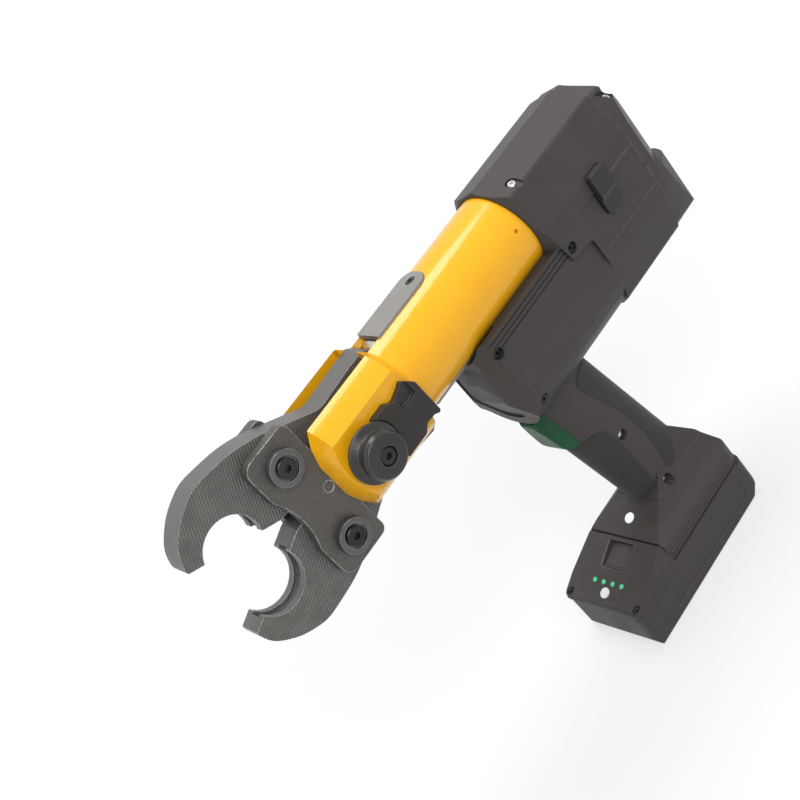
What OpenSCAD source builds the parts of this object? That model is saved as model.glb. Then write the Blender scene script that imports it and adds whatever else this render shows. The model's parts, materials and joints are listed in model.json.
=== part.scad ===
// Cordless press tool with a swivelling fork head, a pinned jaw set and a slide-on battery

/* [Overall] */
// Height of the drive axis above the battery's base
axis_height = 284; // [276:1:300]
// Distance of the locking pin in front of the battery's middle
pin_reach = 127; // [120:1:134]

/* [Head] */
// Outer radius of the head tube
tube_r = 31.5; // [30.5:0.1:33]
// Bore radius of the head tube
tube_bore_r = 26.5; // [26:0.1:27]
// Distance from the locking pin back to the end of the head tube
tube_back = 196; // [192:1:200]
// Turned radius of the fork
fork_r = 38.7; // [37.5:0.1:41]
// Half width over the flats of the fork
fork_half = 32; // [31:0.5:34]
// Distance from the locking pin forward to the end of the fork
fork_reach = 24; // [21:0.5:26]
// Distance from the locking pin back to the step behind the fork
fork_back = 44; // [42:1:46]
// Thickness of the guard bars
guard_t = 3.6; // [3:0.1:4.2]
// Half width of the guard bars
guard_half = 11.5; // [11:0.1:13]

/* [Jaw set] */
// Half thickness of the jaw levers
lever_half = 9.5; // [8.5:0.1:10]
// Thickness of the side plates
plate_t = 8.2; // [7:0.1:9]
// Distance from the locking pin to the lever bolts, along the drive
bolt_x = 39.3; // [38:0.1:41]
// Distance of the lever bolts from the drive axis
bolt_z = 32.1; // [31:0.1:33]
// Radius of the lever bolts
bolt_r = 8; // [6:0.1:8.5]
// Half height of the side plates
plate_half = 50; // [48:0.5:53]
// Radius of the closed press contour
press_r = 19.7; // [15:0.1:20.5]
// Depth of the groove in the press contour
press_groove = 2.4; // [1:0.1:4]
// Opening of the upper lever at rest, in degrees
upper_open = 24.5; // [20:0.5:24.5]
// Opening of the lower lever at rest, in degrees
lower_open = 19; // [8:0.5:24.5]

/* [Pin and latch] */
// Radius of the locking pin
pin_r = 7; // [6:0.1:7.5]
// Radius of the knob's flange
knob_r = 18.6; // [17:0.1:20]
// Height of the knob above the fork
knob_h = 20.5; // [18:0.5:24]
// Thickness of the latch slide
latch_t = 4; // [3:0.1:4.2]

/* [Press drive] */
// Radius of the press rollers
roller_r = 13.5; // [12.5:0.1:13.5]
// Stroke of the roller carriage
stroke = 49; // [44:1:49]
// Radius of the piston
piston_r = 16; // [14:0.5:18]
// Radius of the piston rod
rod_r = 9; // [7:0.5:10]

/* [Housing] */
// Half width of the rear housing
body_half = 37.5; // [36.5:0.5:40]
// Distance of the motor axis under the drive axis
motor_drop = 66; // [64:0.5:68]
// Outer radius of the motor barrel
barrel_r = 36; // [35:0.5:37]
// Wall of the housing
wall = 3; // [2.4:0.1:3.4]
// Half width of the grip
grip_half = 18; // [16.5:0.5:20]
// Lean of the grip, in degrees
grip_lean = 11.3; // [10:0.1:12.5]

/* [Battery] */
// Length of the battery
pack_len = 146; // [142:1:150]
// Half width of the battery
pack_half = 38; // [37.5:0.5:41]
// Height of the battery under the foot
pack_h = 36.5; // [34:0.5:39]
// Radius of the battery cells
cell_r = 10.5; // [9:0.1:10.5]

/* [Hidden] */
$fn = 48;

// Clearances between pieces
run_gap = 0.05;
slide_gap = 0.3;
loose_gap = 0.5;
seat_gap = 0.1;
cut = 1;

// Jaw set across the tool
plate_in = lever_half + slide_gap;
plate_out = plate_in + plate_t;
slot_half = plate_out + slide_gap;
boss_r = 13;
bolt_head_r = bolt_r + 3.5;
bolt_head_t = 5.4;
plate_front = bolt_x + 19.2;
plate_back = bolt_x - 18.8;
press_x = bolt_x + 42;
lever_gap = 0.35;

// Roller carriage along the drive
guard_top_z = tube_r + 0.3;
guard_low_z = guard_top_z - guard_t;
roller_z = roller_r + slide_gap;
roller_end = -(sqrt(pow(roller_r + pin_r + 1.2, 2) - pow(roller_z, 2)));
roller_rest = roller_end - stroke;
roller_pin_r = 5;
roller_slot = lever_half + 0.8;
cheek_t = 5.2;
cheek_r = 8;
carriage_r = tube_bore_r - slide_gap;
carriage_front = -fork_back - 1 - stroke;
carriage_t = 8;
sleeve_front = carriage_front - carriage_t - 2;
sleeve_r = tube_bore_r - 3;
gland_t = 8;
piston_t = 10;
piston_gap = 34;
piston_front = sleeve_front - gland_t - piston_gap - stroke;
sleeve_back = piston_front - piston_t - 5;
bearing_len = 14;
ring_x = -tube_back + 8;
ring_t = 2;
slot_back = roller_rest - roller_r - 3;
pocket_back = -115;
pocket_front = -61;
guard_screw_x = -107;

// Housing stations along the drive
rim_x = -178.5;
barrel_front = -91;
rear_front = -208;
cap_x = -275;
cap_len = 33;
cap_back = cap_x - cap_len;
motor_z = -motor_drop;
roof_z = 35.4;
pump_front = sleeve_back;
pump_back = -272;
motor_r = 26;
motor_front = -112;
motor_back = -196;
gear_back = -226;
shaft_r = 4;
tank_r = 22;
tank_back = cap_x - 3;

// Grip and foot, from the base up
base_z = -axis_height;
foot_low = base_z + pack_h + 0.5;
foot_high = foot_low + 20;
foot_half = pack_half - 1;
foot_front = -pin_reach + 23;
foot_back = -pin_reach - pack_len / 2;
pack_back = -pin_reach - pack_len / 2;
pack_front = -pin_reach + pack_len / 2;
grip_x = -143.5;
grip_z = -141;
grip_long = 28.5;
inlay_out = 0.6;
inlay_in = 1.4;

// Rails of the battery
rail_half = 27;
neck_half = 23.5;
rail_low = foot_low + 3.6;
rail_high = foot_low + 11.5;
boss_back = foot_back + 34;

// Cells in the battery and control board in the foot
cell_room = 8;
cell_pitch = 2 * cell_r + 1;
cell_shift = 1;
cells = floor((pack_len - 2 * cell_room) / cell_pitch);
board_back = foot_back + 16;
board_front = board_back + 48;
board_half = 23;

// Corner rounding of an outline whose points are [x, y, radius]
function unit(v) = v / norm(v);
function flat(p) = [p[0], p[1]];
function wrap(a) = a > 180 ? a - 360 : a < -180 ? a + 360 : a;
function arc(mid, r, from, turn, steps) =
    [for (i = [0:steps]) mid + r * [cos(from + turn * i / steps), sin(from + turn * i / steps)]];
function corner(a, b, c, r) =
    let (u = unit(a - b), w = unit(c - b), half = acos(u * w) / 2,
         reach = r / tan(half), mid = b + unit(u + w) * r / sin(half),
         p = b + u * reach - mid, q = b + w * reach - mid,
         from = atan2(p.y, p.x), turn = wrap(atan2(q.y, q.x) - from))
    arc(mid, r, from, turn, max(1, ceil(abs(turn) / 15)));
function rounded(p) =
    [for (i = [0:len(p) - 1])
        each p[i][2] > 0
            ? corner(flat(p[(i + len(p) - 1) % len(p)]), flat(p[i]), flat(p[(i + 1) % len(p)]), p[i][2])
            : [flat(p[i])]];
function both_sides(p) =
    concat(p, [for (i = [len(p) - 1:-1:0]) if (p[i][0] > 0) [-p[i][0], p[i][1], p[i][2]]]);
// Oval with full shoulders at the back and a round front, for the grip's section
function oval(a, b, n) =
    [for (i = [0:n - 1]) let (t = 360 * i / n, c = cos(t), s = sin(t), k = c > 0 ? 1 : 0.8)
        [a * sign(c) * pow(abs(c), k), b * sign(s) * pow(abs(s), k)]];
// Teardrop with its tail along X
function drop(r, tail) = concat([for (a = [70:20:290]) r * [cos(a), sin(a)]], [[tail, 0]]);
function turned(p, a) = [p.x * cos(a) - p.y * sin(a), p.x * sin(a) + p.y * cos(a)];

// Side outline drawn in X and Z, thick from y0 to y1
module side(y0, y1) {
    rotate([90, 0, 0]) translate([0, 0, -y1]) linear_extrude(y1 - y0) children();
}

// Cross-section drawn in Y and Z, from x0 to x1
module along(x0, x1) {
    translate([x0, 0, 0]) rotate([90, 0, 90]) linear_extrude(x1 - x0) children();
}

// Round bar along X
module bar_x(x0, x1, r, z = 0, y = 0) {
    translate([x0, y, z]) rotate([0, 90, 0]) cylinder(h = x1 - x0, r = r);
}

// Round bar along Y
module bar_y(y0, y1, r, x = 0, z = 0) {
    translate([x, y1, z]) rotate([90, 0, 0]) cylinder(h = y1 - y0, r = r);
}

module box(x0, x1, y0, y1, z0, z1) {
    translate([x0, y0, z0]) cube([x1 - x0, y1 - y0, z1 - z0]);
}

// Moves a piece from the locking pin's centre to the battery's base
module placed() {
    translate([pin_reach, 0, axis_height]) children();
}

module mirror_z() {
    mirror([0, 0, 1]) children();
}

// Head tube and fork

fork_tip = [[-fork_back - 6, tube_r], [-fork_back, fork_r], [14, fork_r], [20, fork_r - 8],
            [fork_reach, fork_r - 17], [fork_reach, 0], [-fork_back - 6, 0]];

module fork_body() {
    rotate([0, 90, 0]) rotate_extrude() polygon([for (p = fork_tip) [p.y, p.x]]);
}

module guard_outline(grow) {
    polygon(rounded([[pocket_front + grow, -guard_half - grow, 1], [pocket_front + grow, guard_half + grow, 1],
                     [pocket_back - grow, guard_half + grow, 9], [pocket_back - grow, -guard_half - grow, 9]]));
}

module guard_pocket() {
    translate([0, 0, guard_low_z]) linear_extrude(fork_r) guard_outline(seat_gap);
    box(slot_back, -fork_back + 2, -roller_slot, roller_slot, 0, fork_r);
    bolt_hole_z(guard_screw_x, guard_low_z);
}

module bolt_hole_z(x, z) {
    translate([x, 0, z - 1.2]) cylinder(h = 2, r = 1.5);
}

module head_shell() {
    color("#f8c12c") placed() difference() {
        union() {
            bar_x(-tube_back, -fork_back - 5, tube_r);
            intersection() {
                fork_body();
                box(-fork_back - 7, fork_reach + cut, -fork_half, fork_half, -fork_r, fork_r);
            }
        }
        bar_x(-tube_back - cut, -fork_back, tube_bore_r);
        bar_x(ring_x - 0.5, ring_x + ring_t + 0.5, tube_bore_r + 2.8);
        box(-fork_back, fork_reach + cut, -slot_half, slot_half, -fork_r - cut, fork_r + cut);
        guard_pocket();
        mirror_z() guard_pocket();
        bar_y(-fork_half - cut, fork_half + cut, pin_r + run_gap);
        bar_y(tube_bore_r, tube_r + cut, 1.5, rim_x + 8, 9);
        side(fork_half - 2.2, fork_half + cut) polygon(latch_key(slide_gap, 9));
    }
}

module guard() {
    difference() {
        translate([0, 0, guard_low_z]) linear_extrude(guard_t) guard_outline(0);
        translate([guard_screw_x, 0, guard_low_z - cut]) cylinder(h = guard_t + 2 * cut, r = 1.7);
        translate([guard_screw_x, 0, guard_top_z - 2]) cylinder(h = 2 + cut, r1 = 1.7, r2 = 5.2);
    }
}

module guard_top() {
    color("#8e8b88") placed() guard();
}

module guard_bottom() {
    color("#8e8b88") placed() mirror_z() guard();
}

module guard_screw() {
    translate([guard_screw_x, 0, guard_low_z - 1.1]) cylinder(h = 1.1 + guard_t - 2, r = 1.45);
    translate([guard_screw_x, 0, guard_top_z - 2.01]) cylinder(h = 1.9, r1 = 1.6, r2 = 3.9);
}

module guard_screws() {
    color("#5c5a58") placed() {
        guard_screw();
        mirror_z() guard_screw();
    }
}

// Locking pin, knob and latch

pin_far = -fork_half + 2;

module locking_pin() {
    color("#9a9a9a") placed() difference() {
        union() {
            bar_y(pin_far + 1.5, fork_half, pin_r);
            translate([0, pin_far + 1.5, 0]) rotate([90, 0, 0]) cylinder(h = 1.5, r1 = pin_r, r2 = pin_r - 1.5);
        }
        bar_y(fork_half - 10, fork_half + cut, 2.5);
    }
}

knob_low = fork_half + latch_t + 0.4;
knob_top = fork_half + knob_h;
waist_r = 13.2;
recess_r = 6;

module pin_knob() {
    color("#23221f") placed() rotate([-90, 0, 0]) rotate_extrude() polygon([
        [2.5, fork_half + seat_gap], [waist_r, fork_half + seat_gap], [waist_r, knob_low],
        [knob_r - 0.8, knob_low], [knob_r, knob_low + 1], [knob_r, knob_low + 3], [knob_r - 2.2, knob_low + 4.2],
        [14.4, knob_low + 5.4], [14, knob_low + 7.5], [14.8, knob_low + 10],
        [15.2, knob_top - 3.5], [13.8, knob_top - 1.2], [11.2, knob_top],
        [recess_r, knob_top], [recess_r, knob_top - 4], [2.5, knob_top - 4]]);
}

module knob_screw() {
    color("#6b6966") placed() difference() {
        union() {
            bar_y(fork_half - 9, knob_top - 4 + 0.01, 2.4);
            bar_y(knob_top - 4 + 0.01, knob_top - 1, recess_r - 0.4);
        }
        side(knob_top - 2.6, knob_top) circle(r = 2.5, $fn = 6);
    }
}

function latch_key(grow, travel) =
    [[-40 - grow - travel, -5 - grow], [-26 + grow, -5 - grow], [-26 + grow, grow - 1], [-40 - grow - travel, grow - 1]];

latch_rise = 2.6;
latch_edge = [[-14, -20.3, 1], [-31.7, -20.3, 2], [-36.9, -16.2, 3], [-43.9, -16.8, 2], [-47.4, -19.1, 1],
              [-48.9, -17.6, 1], [-48.4, 8, 3], [-42.5, 14.5, 2], [-39.3, 12.6, 1], [-30.3, 9.6, 4],
              [-25.3, 13.7, 3], [-13.1, 13.7, 1], [-8, 0, 0]];

module latch_slide() {
    color("#1e1d1b") placed() {
        difference() {
            side(fork_half + seat_gap, fork_half + latch_t) polygon(rounded(latch_edge));
            bar_y(fork_half - cut, knob_top, waist_r + slide_gap);
        }
        difference() {
            side(fork_half + latch_t - cut, fork_half + latch_t + latch_rise) polygon(rounded(latch_edge));
            bar_y(fork_half - cut, knob_top, knob_r + 2 * loose_gap);
            box(-fork_back, -31, fork_half, knob_top, 3, 20);
        }
        side(fork_half - 1.9, fork_half + seat_gap) polygon(latch_key(0, 0));
    }
}

// Roller carriage and press cylinder

module roller_fork() {
    color("#7d7f82") placed() difference() {
        intersection() {
            union() {
                bar_x(carriage_front - carriage_t, carriage_front, carriage_r);
                for (y = [-1, 1]) side(y > 0 ? roller_slot : -roller_slot - cheek_t,
                                       y > 0 ? roller_slot + cheek_t : -roller_slot) {
                    translate([carriage_front - 2, -roller_z - 5])
                        square([roller_rest - carriage_front + 2, 2 * roller_z + 10]);
                    for (z = [-roller_z, roller_z]) translate([roller_rest, z]) circle(r = cheek_r);
                }
            }
            bar_x(carriage_front - carriage_t, 0, carriage_r);
        }
        for (z = [-roller_z, roller_z]) bar_y(-30, 30, roller_pin_r, roller_rest, z);
        bar_x(carriage_front - carriage_t - cut, carriage_front - 2, 6);
    }
}

module roller_pins() {
    color("#b5b5b5") placed() for (z = [-roller_z, roller_z])
        bar_y(-roller_slot - cheek_t, roller_slot + cheek_t, roller_pin_r, roller_rest, z);
}

module roller(z) {
    difference() {
        bar_y(-lever_half, lever_half, roller_r, roller_rest, z);
        bar_y(-30, 30, roller_pin_r + run_gap, roller_rest, z);
    }
}

module upper_roller() {
    color("#c2c2c2") placed() roller(roller_z);
}

module lower_roller() {
    color("#c2c2c2") placed() roller(-roller_z);
}

module piston() {
    color("#a7a7a7") placed() difference() {
        union() {
            bar_x(piston_front - piston_t, piston_front, piston_r);
            bar_x(piston_front - cut, carriage_front - carriage_t, rod_r);
            bar_x(carriage_front - carriage_t - cut, carriage_front - 2, 6);
        }
        difference() {
            bar_x(piston_front - 7, piston_front - 3, piston_r + cut);
            bar_x(piston_front - 8, piston_front - 2, piston_r - 2.5);
        }
    }
}

module piston_seal() {
    color("#1b1b1b") placed() difference() {
        bar_x(piston_front - 7, piston_front - 3, piston_r - run_gap);
        bar_x(piston_front - 8, piston_front - 2, piston_r - 2.5);
    }
}

spring_r = rod_r + 2.6;
spring_wire = 1.6;
spring_turns = 7;
spring_back = sleeve_front - gland_t - piston_gap + 2;
spring_front = sleeve_front - gland_t - spring_wire - 0.2;
spring_rings = spring_turns * 12;

// Closed coil along X, as a swept tube of 6 sides
module coil() {
    pitch = (spring_front - spring_wire - 0.2 - spring_back) / spring_rings;
    points = [for (i = [0:spring_rings]) for (k = [0:5])
        let (t = i * 30, a = k * 60, r = spring_r + spring_wire * cos(a))
        [spring_back + spring_wire + pitch * i + spring_wire * sin(a), r * cos(t), r * sin(t)]];
    sides = [for (i = [0:spring_rings - 1]) for (k = [0:5])
        let (a = i * 6 + k, b = i * 6 + (k + 1) % 6) each [[a, b, b + 6], [a, b + 6, a + 6]]];
    last = spring_rings * 6;
    caps = [for (k = [1:4]) each [[0, k + 1, k], [last, last + k, last + k + 1]]];
    polyhedron(points, concat(sides, caps));
}

module return_spring() {
    color("#8f9296") placed() coil();
}

module cylinder_sleeve() {
    color("#8b8d90") placed() difference() {
        bar_x(sleeve_back, sleeve_front, sleeve_r);
        bar_x(sleeve_back - cut, sleeve_front - gland_t, piston_r + run_gap);
        bar_x(sleeve_back, sleeve_front + cut, rod_r + run_gap);
    }
}

module bearing_rings() {
    color("#a98a4a") placed() difference() {
        union() {
            bar_x(sleeve_front - bearing_len, sleeve_front - 2, tube_bore_r - run_gap);
            bar_x(-tube_back, -tube_back + bearing_len, tube_bore_r - run_gap);
        }
        bar_x(-tube_back - cut, sleeve_front, sleeve_r);
        bar_x(ring_x, ring_x + ring_t, tube_bore_r + cut);
    }
}

module retaining_ring() {
    color("#9b9b9b") placed() difference() {
        bar_x(ring_x, ring_x + ring_t, tube_bore_r + 2.4);
        bar_x(ring_x - cut, ring_x + ring_t + cut, sleeve_r);
    }
}

// Jaw set

plate_edge = [[plate_front, -plate_half, 8], [plate_back, -plate_half, 5],
              [plate_back, -24, 5], [2, 1 - boss_r, 0], [2, boss_r - 1, 0],
              [plate_back, 24, 5], [plate_back, plate_half, 5], [plate_front, plate_half, 8]];
mouth_arc_r = 52;

module plate(y0, y1) {
    difference() {
        union() {
            side(y0, y1) polygon(rounded(plate_edge));
            bar_y(y0, y1, boss_r);
        }
        translate([plate_front - 4.8 + mouth_arc_r, 0, 0]) rotate([90, 0, 0])
            cylinder(h = 80, r = mouth_arc_r, center = true, $fn = 120);
        bar_y(-40, 40, pin_r + run_gap);
        bar_y(-40, 40, 3, spring_x, 0);
        for (z = [-bolt_z, bolt_z]) bar_y(-40, 40, bolt_r, bolt_x, z);
    }
}

module plate_left() {
    color("#4c4d4f") placed() plate(plate_in, plate_out);
}

module plate_right() {
    color("#4c4d4f") placed() plate(-plate_out, -plate_in);
}

module jaw_bolt(z) {
    difference() {
        union() {
            bar_y(-plate_out, plate_out, bolt_r, bolt_x, z);
            for (y = [-plate_out - bolt_head_t, plate_out])
                bar_y(y, y + bolt_head_t, bolt_head_r, bolt_x, z);
        }
        bar_y(plate_out + bolt_head_t - 2, plate_out + bolt_head_t + cut, bolt_r, bolt_x, z);
        bar_y(plate_out - 12, plate_out + bolt_head_t, 2.5, bolt_x, z);
    }
}

module jaw_bolts() {
    color("#6a6b6d") placed() for (z = [-bolt_z, bolt_z]) jaw_bolt(z);
}

module bolt_screws() {
    color("#2e2e2f") placed() for (z = [-bolt_z, bolt_z]) {
        bar_y(plate_out - 11, plate_out + bolt_head_t - 2 + 0.01, 2.4, bolt_x, z);
        difference() {
            bar_y(plate_out + bolt_head_t - 2 + 0.01, plate_out + bolt_head_t + 0.6, bolt_r - 1.6, bolt_x, z);
            side(plate_out + bolt_head_t - 1.2, plate_out + bolt_head_t + cut)
                translate([bolt_x, z]) circle(r = 2.6, $fn = 6);
        }
    }
}

spring_x = 28;

module jaw_spring() {
    color("#8f9296") placed() {
        difference() {
            bar_y(-8, 8, 4.6, spring_x, 0);
            bar_y(-9, 9, 3.05, spring_x, 0);
        }
        for (z = [-1, 1]) translate([spring_x, 0, 0]) rotate([0, -z * 4, 0])
            box(-13, 0, z > 0 ? 4 : -7, z > 0 ? 7 : -4, z > 0 ? 3.1 : -4.5, z > 0 ? 4.5 : -3.1);
    }
}

module spring_pin() {
    color("#9b9b9b") placed() bar_y(-plate_out + 1, plate_out - 1, 3, spring_x, 0);
}

// Path of the roller's centre as the closed lever sees it, and the cam that clears it
bolt_at = [bolt_x, bolt_z];
function roller_path(s) =
    bolt_at + turned([roller_rest + s, roller_z] - bolt_at, -upper_open * (1 - s / stroke));
function cam_point(s) =
    let (go = unit(roller_path(s + 0.5) - roller_path(s - 0.5)))
    roller_path(s) + (roller_r + 0.4) * [-go.y, go.x];
cam_steps = 10;
cam_points = [for (i = [0:cam_steps]) cam_point(stroke * i / cam_steps)];
pin_seen = bolt_at + turned(-bolt_at, -upper_open);

lever_edge = [[press_x + press_r + 0.5, lever_gap, 0.5], [bolt_x + 73.5, lever_gap, 1.5], [bolt_x + 75, 13, 7],
              [bolt_x + 66, 30.5, 9], [bolt_x + 52, 44, 10], [bolt_x + 24, bolt_z + 19.6, 14],
              [bolt_x + 6, bolt_z + 21, 20], [0, 49.3, 14], [-28, 63.6, 20], [-40, 69.3, 2],
              [-45.5, 67.8, 2], [-49.5, 62.5, 2], [-30, 30, 0], [-4, 20, 0], [12, 17, 6], [bolt_x - 12, 8, 10],
              [bolt_x + 9, lever_gap + 0.4, 2], [press_x - press_r - 1, lever_gap + 0.4, 0.5], [press_x, 8, 0]];

module lever() {
    difference() {
        side(-lever_half, lever_half) difference() {
            polygon(rounded(lever_edge));
            polygon(concat(cam_points, [[-5, 5], [-60, -5], [-90, 60]]));
            translate(pin_seen) circle(r = pin_r + 0.6);
            translate([press_x, 0]) circle(r = press_r, $fn = 96);
            translate([-4, -4]) square([16, 17]);
        }
        bar_y(-4.2, 4.2, press_r + press_groove, press_x, 0);
        bar_y(-40, 40, bolt_r + run_gap, bolt_x, bolt_z);
    }
}

module opened(angle) {
    translate([bolt_x, 0, bolt_z]) rotate([0, -angle, 0]) translate([-bolt_x, 0, -bolt_z]) children();
}

module upper_lever() {
    color("#3e3f41") placed() opened(upper_open) lever();
}

module lower_lever() {
    color("#3e3f41") placed() mirror_z() opened(lower_open) lever();
}

// Housing

rear_section = both_sides([[0, roof_z, 0], [28.7, 27.1, 4], [body_half, -5, 12], [body_half - 1.2, -60, 20],
                           [body_half - 7, -91, 6], [12, -103.5, 8], [0, -104.5, 0]]);
barrel_edge = [[-110, -20, 0], [-94, -20, 1.5], [-94, -36, 0], [barrel_front - 1, -42, 2], [barrel_front, -52, 4],
               [-94, -72, 12], [-101.2, -91, 10], [-103, motor_z - barrel_r - 2, 3], [-112, motor_z - barrel_r - 2, 0],
               [-215, motor_z - barrel_r - 2, 0], [-215, -20, 0]];

module barrel_solid() {
    intersection() {
        union() {
            bar_x(rear_front - 2, barrel_front + cut, barrel_r, motor_z);
            box(rear_front - 2, barrel_front, -34, 34, motor_z + 10, -20);
        }
        side(-60, 60) polygon(rounded(barrel_edge));
        translate([0, 0, -150]) linear_extrude(200) polygon(rounded([
            [barrel_front, -6, 10], [barrel_front, 6, 10], [-94, 20, 14], [-100, 31, 10], [-107, barrel_r + 1, 8],
            [-114, barrel_r + 3, 0], [-215, barrel_r + 3, 0], [-215, -barrel_r - 3, 0], [-114, -barrel_r - 3, 0],
            [-107, -barrel_r - 1, 8], [-100, -31, 10], [-94, -20, 14]]));
    }
}

tongue_edge = both_sides([[0, -38, 0], [15, -38, 6], [19, -60, 10], [12, -93, 8], [0, -94, 0]]);
panel_sink = 1.2;

// Tongue-shaped panel sunk in the front of the barrel
module front_panel() {
    difference() {
        along(-112, barrel_front + cut) polygon(rounded(tongue_edge));
        translate([-panel_sink, 0, 0]) barrel_solid();
    }
}

module rear_solid() {
    intersection() {
        along(cap_x, rim_x) polygon(rounded(rear_section));
        side(-60, 60) polygon(rounded([[cap_x - cut, 50, 0], [rim_x + cut, 50, 0], [rim_x + cut, -33, 3],
                                       [rear_front, -36, 3], [rear_front, -92, 8], [rear_front - 14, -120, 0],
                                       [cap_x - cut, -120, 0]]));
        rotate([0, 90, 0]) rotate_extrude() polygon([[0, rim_x], [34, rim_x], [42, rim_x - 6.5], [130, rim_x - 30],
                                                     [130, cap_x - cut], [0, cap_x - cut]]);
    }
}

module grip_at(z0, z1, inset) {
    translate([grip_x, 0, grip_z]) rotate([0, grip_lean, 0]) translate([0, 0, z0 - grip_z])
        linear_extrude(z1 - z0) polygon(oval(grip_long - inset, grip_half - inset, 40));
}

foot_slope = 0.365;
foot_section = both_sides([[0, foot_high + 34, 0], [grip_half - 4, foot_high + 34, 0],
                           [grip_half - 1, foot_high + 20, 8], [grip_half + 1.5, foot_high + 8, 6],
                           [foot_half - 6, foot_high, 2], [foot_half, foot_high - 7, 3], [foot_half, foot_low, 0],
                           [0, foot_low, 0]]);

module foot_solid() {
    intersection() {
        along(foot_back, foot_front) polygon(rounded(foot_section));
        side(-60, 60) polygon(rounded([[foot_front, foot_low, 0], [foot_front, foot_high - 2.7, 2],
                                       [foot_front - 21, foot_high + 5, 0], [-133, foot_high + 7, 6],
                                       [-147, foot_high + 17, 12], [-152, foot_high + 34, 0],
                                       [-178, foot_high + 34, 0], [-183, foot_high + 28, 20],
                                       [foot_back + 6, foot_high + 12, 12], [foot_back + 1, foot_high - 7, 8],
                                       [foot_back, foot_low, 0]]));
        translate([0, 0, foot_low]) linear_extrude(90) polygon(rounded([
            [foot_front, -foot_half, 1], [foot_front, foot_half, 1], [foot_back, foot_half, 12],
            [foot_back, -foot_half, 12]]));
    }
}

bead_r = 0.8;

// Two beads along each side of the foot
module foot_beads() {
    for (y = [-foot_half, foot_half]) for (z = [2.4, 5.2])
        bar_x(foot_back + 13, foot_front - 2, bead_r, foot_low + z, y);
}

module outer_solid(inset) {
    rear_solid();
    barrel_solid();
    foot_beads();
    grip_at(foot_high + 2, motor_z - 20, inset);
    foot_solid();
}

// Outlines of the soft inlays on the grip, seen from the side
rear_inlay = [[-172, -101, 0], [-150, -101, 4], [-141, -104.5, 5], [-141.5, -114, 8], [-149, -130, 14],
              [-157, -154, 20], [-160.5, -178, 16], [-159.5, -199, 10], [-157.5, -211, 8], [-160, -221, 6],
              [-170, -224, 4], [-190, -216, 0], [-225, -170, 0], [-205, -101, 0]];
front_inlay = [[-100, -143, 0], [-128, -143, 6], [-135, -147, 6], [-139.5, -158, 14], [-141.3, -175, 20],
               [-142, -192, 20], [-142.5, -209, 10], [-144, -222, 4], [-139, -226, 3.5], [-127, -219, 4],
               [-100, -214, 0]];

module inlay_ring(edge, grow) {
    intersection() {
        difference() {
            grip_at(foot_high + 2, motor_z - 30, -inlay_out * grow);
            grip_at(foot_high - 10, motor_z, inlay_in);
        }
        side(-40, 40) polygon(rounded(edge));
    }
}

switch_x = -150;
switch_half = grip_half - wall - 1.3;
trigger_half = 10.5;
trigger_pocket_back = -131;

module inner_space() {
    bar_x(cap_x - cut, rim_x + cut, tube_r + loose_gap);
    bar_x(rear_front - 10, barrel_front + 20, tube_r + loose_gap);
    bar_x(pocket_back - 2, barrel_front + 20, norm([guard_half, guard_top_z]) + loose_gap);
    bar_x(cap_x - cut, motor_front + 2, motor_r + loose_gap, motor_z);
    box(cap_x - cut, gear_back + 2, -motor_r, motor_r, motor_z, -10);
    intersection() {
        grip_at(foot_high - 4, motor_z, wall);
        box(-200, -100, -40, 40, foot_high - 6, motor_z - barrel_r + 12);
    }
    box(trigger_pocket_back, -90, -trigger_half - slide_gap, trigger_half + slide_gap, -141.5, -102.8);
    box(board_back - 2, board_front + 2, -board_half - 1, board_half + 1, foot_high - 8, foot_high - 1);
    battery_space();
}

module battery_space() {
    box(boss_back - 1, foot_front + cut, -rail_half - slide_gap, rail_half + slide_gap, rail_low - slide_gap,
        rail_high + slide_gap);
    box(boss_back - 1, foot_front + cut, -neck_half - slide_gap, neck_half + slide_gap, foot_low - cut, rail_low);
    box(foot_back + 4, boss_back, -22, 22, foot_low - cut, rail_high + slide_gap);
}

grip_screws = [[-145.4, -162.5], [-150.6, foot_high + 9.2]];
grip_screw_y = grip_half - 3.4;
wall_screws = [[-191.4, -27, body_half - 0.5], [-105, -31.5, 31.6], [-109, -80, 33.2]];
screw_r = 2;
screw_head_r = 3.7;
screw_boss_r = 5.5;

drop_r = 4.4;
drop_head_r = 3.1;
drop_shank_r = 1.8;
roof_sink = 1.6;
cap_sink = 1.5;

// Place of the screw in the roof, and of the one in the rear cap, looking out of the surface
module roof_pose() {
    translate([-193.5, 22.5, roof_z - 6.5]) rotate([-16, 0, 0]) rotate([0, 0, 105]) children();
}

module cap_pose() {
    translate([cap_x - 13.5, 26.5, 14]) rotate([-33.4, -32.6, 0]) children();
}

module drop_seat(sink, shank) {
    translate([0, 0, -sink]) linear_extrude(14) polygon(drop(drop_r, 13));
    translate([0, 0, -shank]) cylinder(h = shank, r = drop_shank_r + seat_gap);
}

module drop_screw(sink, shank) {
    translate([0, 0, -shank + seat_gap]) cylinder(h = shank - sink, r = drop_shank_r);
    translate([0, 0, -sink]) cylinder(h = 1.4, r = drop_head_r);
}

module grip_posts() {
    for (s = grip_screws) bar_y(-grip_half + 2, grip_half - 2, screw_boss_r, s[0], s[1]);
}

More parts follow.
